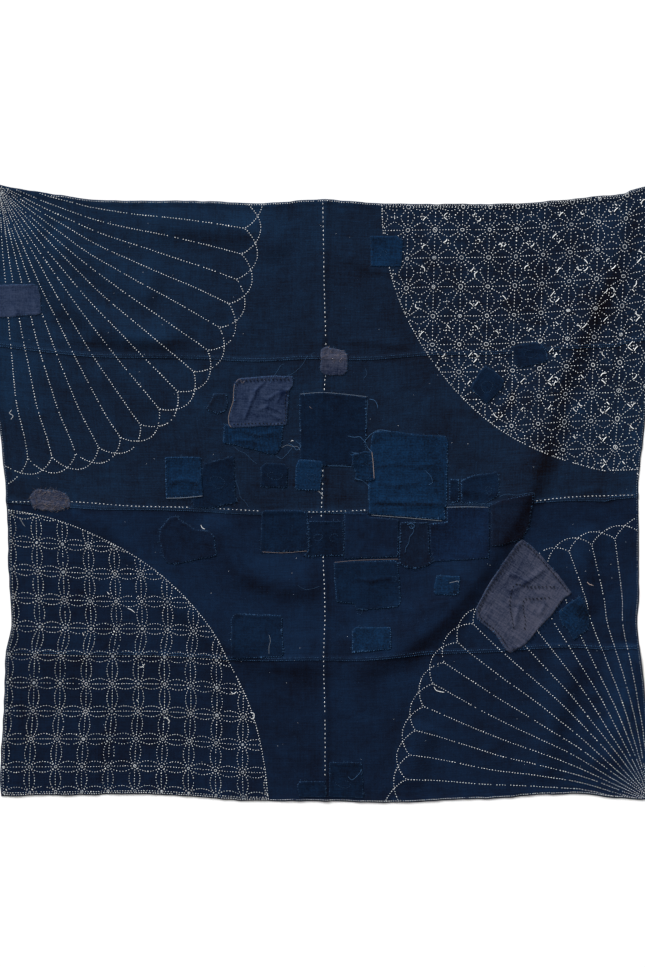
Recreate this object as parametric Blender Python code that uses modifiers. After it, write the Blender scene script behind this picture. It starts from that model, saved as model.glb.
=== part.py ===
"""Boro patched cloth: a worn indigo cotton cloth of four loom-width panels with patches sewn on its face.

The cloth lies face up on a level surface, its upper edge towards +Y and its left edge towards -X.
Its soft folds rise from the surface, and between them it rests flat at z = 0.
Units are metres, +Z is up, and the origin is under the middle of the cloth.
"""

from bisect import bisect_right
from collections import namedtuple
import math

import bmesh
import bpy
from mathutils import Vector

MM = 0.001

# Panels, from the upper edge down, and how deep each loom width is when it is laid flat
Panel = namedtuple("Panel", "name depth cloth")
PANELS = (
    Panel("panel_top", 0.350, "ground"),
    Panel("panel_upper", 0.346, "ground"),
    Panel("panel_lower", 0.330, "ground_deep"),
    Panel("panel_bottom", 0.324, "ground_deep"),
)

# Thickness of a panel and of a patch, and the gap that neighbouring pieces keep
PANEL_THICKNESS = 0.0015
PATCH_THICKNESS = 0.0010
PIECE_GAP = 0.0003

# The surface is a grid of this many cells across, and cells of about this depth down each panel
COLUMNS = 48
CELL_DEPTH = 0.030

# The four edges of the laid cloth in millimetres, as (place along the edge, distance from the origin)
TOP_EDGE = (
    (-735, 678), (-671, 665), (-583, 652), (-495, 643), (-275, 641), (-143, 636), (-7, 644), (121, 636),
    (341, 634), (429, 636), (517, 643), (605, 652), (660, 657), (671, 664), (735, 681),
)
BOTTOM_EDGE = (
    (-713, -668), (-627, -666), (-495, -659), (-363, -662), (-275, -668), (-187, -675), (33, -679),
    (165, -681), (253, -675), (385, -670), (473, -664), (561, -664), (649, -673), (719, -677),
)
LEFT_EDGE = (
    (-668, -713), (-633, -715), (-565, -713), (-459, -706), (-354, -702), (-301, -691), (-237, -693),
    (-142, -697), (-37, -700), (42, -706), (122, -713), (203, -726), (423, -733), (678, -735),
)
RIGHT_EDGE = (
    (-677, 719), (-589, 713), (-459, 704), (-380, 695), (-301, 686), (-248, 691), (-90, 686), (16, 686),
    (95, 695), (203, 706), (423, 722), (681, 735),
)

# The right part of the cloth has crept up: by how much, and between which shares of the width it starts
RIGHT_CREEP = 0.016
CREEP_START, CREEP_FULL = 0.52, 0.68

# Folds, in millimetres: height of the crest, how far it reaches to the left and to the right of its
# crest line, and the crest line's points from its first end to its last
Fold = namedtuple("Fold", "height left right crest")
FOLDS = (
    Fold(8.5, 30, 62, ((693, 632), (645, 548), (601, 445), (557, 346), (508, 243), (480, 122), (447, 5),
                       (396, -90), (332, -186), (260, -274), (172, -343), (73, -387), (-7, -378))),
    Fold(6.5, 34, 58, ((60, -385), (-7, -376), (-130, -362), (-222, -329), (-297, -259), (-385, -175),
                       (-473, -83), (-583, -17))),
    Fold(4.5, 30, 40, ((11, -202), (-95, -206), (-176, -175), (-222, -112), (-264, -39))),
    Fold(7.5, 50, 30, ((-706, 632), (-684, 579), (-640, 507), (-583, 430), (-499, 361), (-385, 339),
                       (-275, 326))),
    Fold(4.5, 45, 30, ((-605, 573), (-543, 524), (-482, 476), (-418, 441), (-352, 421))),
    Fold(4.0, 45, 30, ((-418, 595), (-286, 584), (-154, 577), (-77, 507))),
    Fold(5.0, 28, 42, ((552, -347), (521, -457), (491, -556), (469, -655))),
    Fold(4.5, 30, 45, ((693, -325), (667, -435), (636, -545), (618, -633))),
    Fold(3.5, 28, 36, ((583, -61), (574, -160), (568, -281))),
    Fold(3.5, 28, 36, ((231, -501), (196, -589), (183, -655))),
)

# A fold fades in and out over this share of its length, and lower swells than this lie flat, in mm
FOLD_FADE = 0.16
FLAT_BELOW = 0.35

# Patches: the kind of cloth, the layer it is sewn on, and the outline's corners in millimetres
Patch = namedtuple("Patch", "name cloth layer outline")
PATCHES = (
    Patch("patch_grey_square", "grey", 2, (
        (-200, 240), (-189, 251), (-119, 256), (-70, 256), (-70, 234), (-79, 223), (-84, 148),
        (-205, 141), (-211, 148), (-211, 166), (-200, 201))),
    Patch("patch_under_grey", "blue", 1, (
        (-222, 148), (-92, 150), (-95, 111), (-99, 93), (-110, 82), (-123, 84), (-202, 104), (-224, 108))),
    Patch("patch_outline_small", "ground", 1, (
        (-246, 218), (-216, 218), (-213, 190), (-220, 177), (-238, 172), (-262, 183), (-249, 205))),
    Patch("patch_blue_left", "blue", 2, ((-352, 78), (-273, 78), (-268, -10), (-350, -15))),
    Patch("patch_dark_left", "dark", 1, (
        (-266, 64), (-200, 80), (-198, 29), (-196, -17), (-191, -21), (-244, -35), (-288, -35), (-293, -17))),
    Patch("patch_dark_loop", "dark", 1, (
        (-141, 56), (-132, 64), (-88, 64), (-81, 53), (-84, 9), (-143, 12))),
    Patch("patch_blue_centre", "blue", 2, (
        (-57, 73), (-7, 69), (-4, 60), (-11, 3), (-62, 5), (-66, 12), (-64, 60))),
    Patch("patch_dark_top", "dark", 1, ((-57, 216), (-2, 221), (92, 210), (90, 58), (-55, 58))),
    Patch("patch_white_top", "pale", 1, (
        (-9, 315), (4, 320), (42, 311), (51, 300), (48, 262), (40, 256), (-2, 258), (-11, 269))),
    Patch("patch_blue_large", "blue", 1, (
        (101, 119), (108, 133), (132, 137), (198, 128), (266, 124), (271, 113), (268, -28), (264, -37),
        (264, -61), (97, -48), (95, 7))),
    Patch("patch_blue_tab", "blue", 2, (
        (59, 84), (88, 89), (103, 89), (110, 27), (92, 23), (66, 29), (70, 40), (59, 58))),
    Patch("patch_dark_narrow", "dark", 1, ((273, 29), (295, 29), (295, -21), (273, -24))),
    Patch("patch_dark_strip", "dark", 1, (
        (299, 27), (328, 38), (381, 45), (383, 9), (381, -8), (356, -24), (299, -24))),
    Patch("patch_violet", "violet", 1, (
        (268, -32), (359, -30), (361, -37), (361, -145), (240, -153), (231, -127), (229, -68), (268, -65))),
    Patch("patch_brown_right", "brown", 1, (
        (385, -17), (458, -2), (458, -21), (449, -76), (433, -103), (385, -118), (365, -118), (365, -28))),
    Patch("patch_brown_threads", "brown", 2, (
        (165, -65), (227, -65), (231, -140), (240, -153), (222, -164), (194, -169), (172, -164),
        (163, -156))),
    Patch("patch_centre_wide", "ground_deep", 1, (
        (42, -43), (90, -46), (99, -54), (163, -59), (161, -142), (42, -147))),
    Patch("patch_two_loops", "dark", 2, (
        (-37, -63), (37, -63), (42, -74), (42, -140), (-51, -142), (-37, -129))),
    Patch("patch_centre_left", "dark", 1, (
        (-139, -43), (-132, -39), (-48, -39), (-37, -48), (-35, -129), (-143, -134))),
    Patch("patch_lower_centre", "dark", 1, (
        (18, -153), (154, -149), (161, -156), (167, -239), (161, -252), (88, -259), (68, -259), (64, -246),
        (24, -241))),
    Patch("patch_blue_small", "blue", 1, (
        (244, -182), (297, -184), (295, -222), (286, -226), (242, -226), (238, -217))),
    Patch("patch_blue_bright", "blue", 1, ((59, -307), (66, -296), (145, -296), (145, -345), (59, -354))),
    Patch("patch_pentagon", "ground_deep", 1, (
        (-341, -54), (-326, -52), (-310, -65), (-286, -81), (-253, -85), (-242, -98), (-238, -140),
        (-284, -149), (-328, -158), (-348, -156), (-356, -142), (-365, -101), (-365, -81))),
    Patch("patch_lower_left", "dark", 1, (
        (-207, -277), (-198, -266), (-95, -270), (-90, -356), (-97, -362), (-198, -367), (-207, -358))),
    Patch("patch_grey_edge", "grey", 1, (
        (-724, 456), (-642, 458), (-631, 452), (-625, 430), (-623, 394), (-631, 390), (-724, 383))),
    Patch("patch_grey_fuzzy", "pale", 1, (
        (-649, -6), (-634, 5), (-590, 3), (-568, -4), (-559, -24), (-561, -35), (-596, -41), (-642, -37))),
    Patch("patch_blue_star", "blue", 1, ((99, 564), (158, 564), (172, 555), (169, 496), (101, 496))),
    Patch("patch_dark_star_left", "dark", 1, (
        (352, 278), (372, 267), (396, 245), (387, 225), (356, 194), (337, 210), (321, 229), (326, 243),
        (343, 269))),
    Patch("patch_dark_star_right", "dark", 1, (
        (411, 320), (460, 331), (477, 326), (488, 306), (491, 291), (480, 284), (433, 273), (422, 282),
        (418, 300))),
    Patch("patch_blue_fan", "blue", 1, (
        (513, -263), (535, -244), (561, -228), (570, -239), (579, -259), (583, -288), (579, -301),
        (559, -316), (548, -327), (532, -301), (521, -292))),
    Patch("patch_grey_big", "pale", 2, (
        (433, -103), (455, -118), (486, -151), (513, -182), (543, -222), (526, -233), (502, -266),
        (471, -299), (442, -334), (407, -354), (398, -347), (374, -312), (334, -279), (332, -255),
        (354, -211), (398, -145), (420, -114))),
    Patch("patch_hem_left", "dark", 1, ((-62, -644), (-57, -635), (0, -635), (4, -671), (-57, -670))),
    Patch("patch_hem_right", "dark", 1, ((9, -593), (81, -593), (86, -672), (9, -671))),
)

# Kinds of cloth: colour as linear red, green and blue, and roughness
Cloth = namedtuple("Cloth", "colour roughness")
CLOTHS = {
    "ground": Cloth((0.0080, 0.0165, 0.0360), 0.92),
    "ground_deep": Cloth((0.0065, 0.0140, 0.0320), 0.92),
    "dark": Cloth((0.0050, 0.0115, 0.0260), 0.94),
    "blue": Cloth((0.0058, 0.0195, 0.0500), 0.90),
    "violet": Cloth((0.0090, 0.0190, 0.0500), 0.92),
    "brown": Cloth((0.0110, 0.0150, 0.0270), 0.94),
    "grey": Cloth((0.0230, 0.0310, 0.0620), 0.95),
    "pale": Cloth((0.0380, 0.0460, 0.0740), 0.96),
}

# Height of the prism that cuts a patch from the surface
CUTTER_FOOT, CUTTER_HEAD = -0.02, 0.06


def mix(first, last, share):
    """The value that lies the given share of the way from first to last."""
    return first + (last - first) * share


def smooth_step(value, start, end):
    """A soft step from 0 at start to 1 at end."""
    share = min(max((value - start) / (end - start), 0.0), 1.0)
    return share * share * (3.0 - 2.0 * share)


def slope_at(points, index):
    """Slope of a smooth curve at one of its points, from the two points beside it."""
    before = points[max(index - 1, 0)]
    after = points[min(index + 1, len(points) - 1)]
    return (after[1] - before[1]) / (after[0] - before[0])


def edge_value(points, place):
    """Distance at a place along an edge, on a smooth curve through the edge's points."""
    places = [point[0] for point in points]
    index = min(max(bisect_right(places, place) - 1, 0), len(points) - 2)
    (start, first), (end, last) = points[index], points[index + 1]
    step = end - start
    share = (place - start) / step
    bend_first = slope_at(points, index) * step - (last - first)
    bend_last = (last - first) - slope_at(points, index + 1) * step
    return mix(first, last, share) + share * (1 - share) * (bend_first * (1 - share) + bend_last * share)


def cloth_point(across, down):
    """Place of a point on the laid cloth, from its shares of the flat width and depth, in metres."""
    top_x = mix(TOP_EDGE[0][0], TOP_EDGE[-1][0], across)
    low_x = mix(BOTTOM_EDGE[0][0], BOTTOM_EDGE[-1][0], across)
    left_y = mix(LEFT_EDGE[-1][0], LEFT_EDGE[0][0], down)
    right_y = mix(RIGHT_EDGE[-1][0], RIGHT_EDGE[0][0], down)
    x = mix(edge_value(LEFT_EDGE, left_y), edge_value(RIGHT_EDGE, right_y), across) * MM
    y = mix(edge_value(TOP_EDGE, top_x), edge_value(BOTTOM_EDGE, low_x), down) * MM
    creep = RIGHT_CREEP * smooth_step(across, CREEP_START, CREEP_FULL) * (1.0 - (2.0 * down - 1.0) ** 4)
    return x, y + creep


def fold_swell(fold, x, y):
    """Height that one fold gives at a place, all in millimetres."""
    place = Vector((x, y))
    crest = [Vector(point) for point in fold.crest]
    lengths = [(end - start).length for start, end in zip(crest, crest[1:])]
    nearest = None
    walked = 0.0
    for start, end, length in zip(crest, crest[1:], lengths):
        along = (end - start) / length
        reach = min(max((place - start).dot(along), 0.0), length)
        away = place - (start + along * reach)
        if nearest is None or away.length < nearest[0]:
            nearest = (away.length, along.cross(place - start), (walked + reach) / sum(lengths))
        walked += length
    distance, side, share = nearest
    width = fold.left if side > 0 else fold.right
    fade = smooth_step(share, 0.0, FOLD_FADE) * smooth_step(1.0 - share, 0.0, FOLD_FADE)
    return fold.height * fade * math.exp(-(distance / width) ** 2)


def cloth_height(x, y):
    """Height of the cloth's underside over the surface at a place, in metres."""
    swell = sum(fold_swell(fold, x / MM, y / MM) for fold in FOLDS)
    return max(swell - FLAT_BELOW, 0.0) * MM


def row_shares():
    """Share of the depth at each grid row, and the rows at which the panels start and end."""
    total = sum(panel.depth for panel in PANELS)
    shares = [0.0]
    borders = [0]
    for panel in PANELS:
        start = shares[-1]
        count = round(panel.depth / CELL_DEPTH)
        shares += [start + panel.depth / total * (step + 1) / count for step in range(count)]
        borders.append(len(shares) - 1)
    return shares, borders


ROW_SHARES, PANEL_BORDERS = row_shares()


def surface_mesh(name, columns, rows, lift, seam_gap=0.0):
    """Open triangulated surface over a range of grid columns and rows, lifted above the underside.

    seam_gap draws the first and last rows in from the seams that they share with other panels.
    """
    first_column, last_column = columns
    first_row, last_row = rows
    mesh = bpy.data.meshes.new(name)
    grid = bmesh.new()
    bmesh.ops.create_grid(
        grid, x_segments=last_column - first_column, y_segments=last_row - first_row, size=0.5)
    bmesh.ops.triangulate(grid, faces=grid.faces, quad_method="FIXED")
    for vert in grid.verts:
        column = mix(first_column, last_column, vert.co.x + 0.5)
        row = round(mix(first_row, last_row, 0.5 - vert.co.y))
        x, y = cloth_point(column / COLUMNS, ROW_SHARES[row])
        if row == first_row and row > 0:
            y -= seam_gap
        if row == last_row and row < len(ROW_SHARES) - 1:
            y += seam_gap
        vert.co = (x, y, cloth_height(x, y) + lift)
    bmesh.ops.recalc_face_normals(grid, faces=grid.faces)
    if sum(face.normal.z for face in grid.faces) < 0.0:
        bmesh.ops.reverse_faces(grid, faces=grid.faces)
    grid.to_mesh(mesh)
    grid.free()
    mesh.shade_smooth()
    mesh.set_sharp_from_angle(angle=math.radians(40))
    return mesh


def cloth_material(name, cloth):
    """Matt cotton in the colour of its kind of cloth."""
    material = bpy.data.materials.new(name)
    material.use_nodes = True
    shader = material.node_tree.nodes["Principled BSDF"]
    shader.inputs["Base Color"].default_value = (*CLOTHS[cloth].colour, 1.0)
    shader.inputs["Roughness"].default_value = CLOTHS[cloth].roughness
    shader.inputs["Metallic"].default_value = 0.0
    material.diffuse_color = (*CLOTHS[cloth].colour, 1.0)
    return material


def add_sheet(collection, name, mesh, cloth, thickness):
    """Object for one piece of cloth, thickened upwards from its open surface."""
    sheet = bpy.data.objects.new(name, mesh)
    collection.objects.link(sheet)
    mesh.materials.append(cloth_material(name + "_cotton", cloth))
    solidify = sheet.modifiers.new("thickness", "SOLIDIFY")
    solidify.thickness = thickness
    solidify.offset = 1.0
    return sheet


def add_panel(collection, index):
    """One loom-width panel, from seam to seam."""
    panel = PANELS[index]
    rows = (PANEL_BORDERS[index], PANEL_BORDERS[index + 1])
    mesh = surface_mesh(panel.name, (0, COLUMNS), rows, 0.0, seam_gap=PIECE_GAP / 2)
    return add_sheet(collection, panel.name, mesh, panel.cloth, PANEL_THICKNESS)


def grid_range(outline):
    """Grid columns and rows that cover an outline with a cell to spare."""
    reach = 2.0 * CELL_DEPTH
    low_x, high_x = min(x for x, y in outline) - reach, max(x for x, y in outline) + reach
    low_y, high_y = min(y for x, y in outline) - reach, max(y for x, y in outline) + reach
    columns, rows = [], []
    for row, down in enumerate(ROW_SHARES):
        for column in range(COLUMNS + 1):
            x, y = cloth_point(column / COLUMNS, down)
            if low_x < x < high_x and low_y < y < high_y:
                columns.append(column)
                rows.append(row)
    return (min(columns), max(columns)), (min(rows), max(rows))


def add_cutter(collection, name, outline):
    """Upright prism over an outline, which cuts a patch from the surface."""
    prism = bmesh.new()
    foot = prism.faces.new([prism.verts.new((x, y, CUTTER_FOOT)) for x, y in outline])
    raised = bmesh.ops.extrude_face_region(prism, geom=[foot], use_keep_orig=True)["geom"]
    top = [item for item in raised if isinstance(item, bmesh.types.BMVert)]
    bmesh.ops.translate(prism, verts=top, vec=(0.0, 0.0, CUTTER_HEAD - CUTTER_FOOT))
    bmesh.ops.recalc_face_normals(prism, faces=prism.faces)
    mesh = bpy.data.meshes.new(name)
    prism.to_mesh(mesh)
    prism.free()
    cutter = bpy.data.objects.new(name, mesh)
    collection.objects.link(cutter)
    cutter.hide_render = True
    cutter.display_type = "WIRE"
    return cutter


def add_patch(collection, cutters, patch):
    """One patch, cut from the cloth's surface and lying on the layer below it."""
    outline = [(x * MM, y * MM) for x, y in patch.outline]
    columns, rows = grid_range(outline)
    lift = PANEL_THICKNESS + PIECE_GAP + (patch.layer - 1) * (PATCH_THICKNESS + PIECE_GAP)
    mesh = surface_mesh(patch.name, columns, rows, lift)
    sheet = add_sheet(collection, patch.name, mesh, patch.cloth, PATCH_THICKNESS)
    cut = sheet.modifiers.new("outline", "BOOLEAN")
    cut.operation = "INTERSECT"
    cut.solver = "EXACT"
    cut.object = add_cutter(cutters, patch.name + "_outline", outline)
    return sheet


def new_collection(name):
    """Collection linked to the scene."""
    collection = bpy.data.collections.new(name)
    bpy.context.scene.collection.children.link(collection)
    return collection


def build():
    """Make the panels and the patches."""
    for item in list(bpy.data.objects):
        bpy.data.objects.remove(item)
    cloth = new_collection("boro_patched_cloth")
    cutters = new_collection("cutters")
    for index in range(len(PANELS)):
        add_panel(cloth, index)
    for patch in PATCHES:
        add_patch(cloth, cutters, patch)


build()
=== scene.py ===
import math
from collections import namedtuple

import bpy
import numpy as np
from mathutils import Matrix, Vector
from mathutils.geometry import delaunay_2d_cdt


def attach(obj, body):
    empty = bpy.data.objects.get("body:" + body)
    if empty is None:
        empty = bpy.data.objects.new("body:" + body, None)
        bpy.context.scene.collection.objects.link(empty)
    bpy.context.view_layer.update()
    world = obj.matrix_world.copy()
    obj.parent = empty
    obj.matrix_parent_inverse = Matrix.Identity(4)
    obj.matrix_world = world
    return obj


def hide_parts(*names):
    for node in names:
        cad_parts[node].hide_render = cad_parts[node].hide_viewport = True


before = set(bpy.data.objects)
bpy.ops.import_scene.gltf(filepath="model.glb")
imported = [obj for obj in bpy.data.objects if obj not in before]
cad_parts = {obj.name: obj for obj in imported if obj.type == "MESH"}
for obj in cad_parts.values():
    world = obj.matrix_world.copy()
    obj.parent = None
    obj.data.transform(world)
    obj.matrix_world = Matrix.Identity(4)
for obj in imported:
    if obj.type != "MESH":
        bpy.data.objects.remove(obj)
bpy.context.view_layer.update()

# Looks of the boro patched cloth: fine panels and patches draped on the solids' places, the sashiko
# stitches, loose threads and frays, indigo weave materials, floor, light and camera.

RNG = np.random.default_rng(20)
MM = 0.001

# Flat size of the cloth, its panels from the upper edge down, and the seams' places down the cloth
WIDTH = 1.46
PANELS = (
    ("panel_top", 0.350, "ground"),
    ("panel_upper", 0.346, "ground"),
    ("panel_lower", 0.330, "ground_deep"),
    ("panel_bottom", 0.324, "ground_deep"),
)
SEAMS = np.cumsum([0.0] + [depth for name, depth, kind in PANELS])
DEPTH = SEAMS[-1]

# Thicknesses of panels and patches, what a layer of patches adds, and the felled seams' lap
PANEL_THICKNESS = 0.0015
PATCH_THICKNESS = 0.0010
LAYER_STEP = 0.0013
LAP = 0.0080
LAP_STEP = 0.0010

# The crease pressed in the middle of the cloth, as its distance from the left edge, and the wander of the
# cloth's edges: how far they wander across and down, and how far in from the edge it reaches
PRESSED_U = 0.733
SIDE_WANDER, END_WANDER, WANDER_REACH = 0.0012, 0.0011, 0.02

# The four edges of the laid cloth in millimetres, as (place along the edge, distance from the origin)
TOP_EDGE = (
    (-735, 681), (-671, 668), (-583, 654), (-495, 643), (-275, 641), (-143, 636), (-7, 644), (121, 636),
    (341, 634), (429, 636), (517, 643), (605, 652), (660, 657), (671, 664), (735, 681),
)
BOTTOM_EDGE = (
    (-713, -669), (-627, -667), (-528, -666), (-440, -664), (-363, -665), (-275, -671), (-187, -678),
    (0, -680), (165, -683), (253, -678), (385, -673), (473, -666), (561, -664), (649, -673), (719, -677),
)
LEFT_EDGE = (
    (-668, -713), (-633, -715), (-565, -713), (-459, -706), (-354, -702), (-301, -691), (-237, -693),
    (-142, -697), (-37, -700), (42, -706), (122, -713), (203, -726), (423, -733), (678, -735),
)
RIGHT_EDGE = (
    (-677, 719), (-589, 713), (-459, 704), (-380, 695), (-301, 687), (-248, 691), (-90, 690), (16, 690),
    (95, 699), (203, 709), (423, 722), (681, 735),
)
RIGHT_CREEP = 0.016
CREEP_START, CREEP_FULL = 0.52, 0.68

# Folds in millimetres: height, reach to the left and to the right of the crest line, and the crest line
Fold = namedtuple("Fold", "height left right crest")
FOLDS = (
    Fold(8.5, 30, 62, ((693, 632), (645, 548), (601, 445), (557, 346), (508, 243), (480, 122), (447, 5),
                       (396, -90), (332, -186), (260, -274), (172, -343), (73, -387), (-7, -378))),
    Fold(6.5, 34, 58, ((60, -385), (-7, -376), (-130, -362), (-222, -329), (-297, -259), (-385, -175),
                       (-473, -83), (-583, -17))),
    Fold(4.5, 30, 40, ((11, -202), (-95, -206), (-176, -175), (-222, -112), (-264, -39))),
    Fold(7.5, 50, 30, ((-706, 632), (-684, 579), (-640, 507), (-583, 430), (-499, 361), (-385, 339),
                       (-275, 326))),
    Fold(4.5, 45, 30, ((-605, 573), (-543, 524), (-482, 476), (-418, 441), (-352, 421))),
    Fold(4.0, 45, 30, ((-418, 595), (-286, 584), (-154, 577), (-77, 507))),
    Fold(5.0, 28, 42, ((552, -347), (521, -457), (491, -556), (469, -655))),
    Fold(4.5, 30, 45, ((693, -325), (667, -435), (636, -545), (618, -633))),
    Fold(3.5, 28, 36, ((583, -61), (574, -160), (568, -281))),
    Fold(3.5, 28, 36, ((231, -501), (196, -589), (183, -655))),
)
FOLD_FADE = 0.16
FLAT_BELOW = 0.35

# Small creases, in the same form, which the solids leave out
CREASES = (
    Fold(1.3, 16, 8, ((35, 520), (104, 488), (180, 480))),
    Fold(1.2, 14, 7, ((40, 333), (110, 330), (185, 318))),
    Fold(1.1, 16, 8, ((-640, 345), (-550, 334), (-420, 330), (-300, 334))),
    Fold(1.2, 14, 9, ((280, 8), (380, -5), (470, -9))),
    Fold(1.2, 12, 9, ((-560, 40), (-520, -20), (-470, -85), (-420, -130))),
    Fold(1.2, 10, 12, ((-600, -180), (-545, -260), (-500, -340), (-470, -430))),
    Fold(1.0, 10, 12, ((-660, -250), (-600, -330), (-540, -420))),
    Fold(1.0, 10, 12, ((-520, -480), (-500, -560), (-490, -640))),
    Fold(1.2, 12, 10, ((250, -140), (330, -210), (380, -250))),
    Fold(1.0, 12, 8, ((120, -250), (200, -262), (280, -235))),
    Fold(1.2, 12, 9, ((-500, 290), (-482, 200), (-450, 120))),
    Fold(1.1, 12, 9, ((350, 140), (400, 200), (430, 260))),
    Fold(1.0, 12, 9, ((640, -20), (600, 10), (540, -6))),
    Fold(1.1, 12, 10, ((-700, 500), (-680, 420), (-672, 330))),
)

# Where the cloth is lighter or darker, from faded dye and from painted fold light and shade, in millimetres:
# middle, reach across and down, and how much
FADES_AND_PAINTED_SHADE = (
    (-470, 470, 330, 250, 0.11), (-705, 540, 90, 180, 0.18), (-690, 250, 50, 200, 0.10),
    (-60, 600, 190, 60, 0.12), (470, 430, 300, 230, -0.14), (-470, -470, 260, 220, -0.12),
    (20, -300, 80, 30, 0.10), (250, -190, 60, 36, 0.03), (-350, -170, 120, 110, 0.05),
    (670, -520, 60, 200, 0.20), (560, -420, 60, 160, 0.04), (400, 105, 80, 80, -0.07),
    (60, -560, 200, 110, -0.03), (420, -60, 60, 60, -0.08), (105, 385, 95, 85, -0.09),
    (-150, -280, 140, 50, 0.05), (-560, 190, 130, 60, -0.04), (500, 40, 70, 120, -0.06),
    (-235, 590, 90, 24, 0.14), (-400, 345, 140, 22, 0.08), (-561, 530, 46, 50, -0.07),
    (-370, 374, 90, 36, -0.09), (-170, 410, 80, 70, -0.06), (400, -640, 260, 30, 0.08),
    (-640, 60, 90, 60, -0.05), (650, -590, 70, 70, 0.14), (165, -310, 36, 24, -0.28),
    (235, -307, 30, 26, 0.06), (285, -235, 25, 30, -0.04), (440, -40, 40, 60, 0.12),
    (375, -180, 30, 60, 0.14), (320, -270, 40, 50, 0.12), (570, 520, 60, 50, -0.12),
    (385, 195, 75, 50, -0.12), (20, -16, 130, 16, -0.16), (-380, -20, 250, 18, -0.10),
    (-520, 40, 60, 30, -0.07), (-685, -270, 24, 60, -0.12), (-690, 475, 25, 40, 0.12),
    (-480, 625, 110, 30, 0.12), (-46, -372, 60, 24, 0.10), (-520, -520, 160, 60, -0.06),
    (200, -560, 60, 60, -0.08), (66, -303, 45, 22, 0.10), (587, -96, 40, 40, -0.10),
    (-468, 397, 50, 30, -0.10), (587, 256, 50, 50, -0.12), (447, 256, 40, 40, -0.08),
    (30, 110, 280, 170, -0.05), (40, 325, 80, 30, -0.09), (40, 20, 80, 40, -0.07),
)

# Lighter and darker bands of painted fold light and shade, in the folds' form with the tone for the height
PAINTED_SHADE_BANDS = (
    Fold(-0.19, 36, 36, ((676, 600), (600, 505), (550, 433), (495, 302), (473, 192), (462, 71), (429, 5),
                         (341, -127), (275, -204), (198, -281), (99, -336))),
    Fold(-0.15, 14, 14, ((-262, -45), (-235, -110), (-200, -185), (-130, -210), (-24, -217))),
    Fold(-0.06, 16, 16, ((-640, 470), (-560, 350), (-470, 300), (-330, 280))),
)

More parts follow.
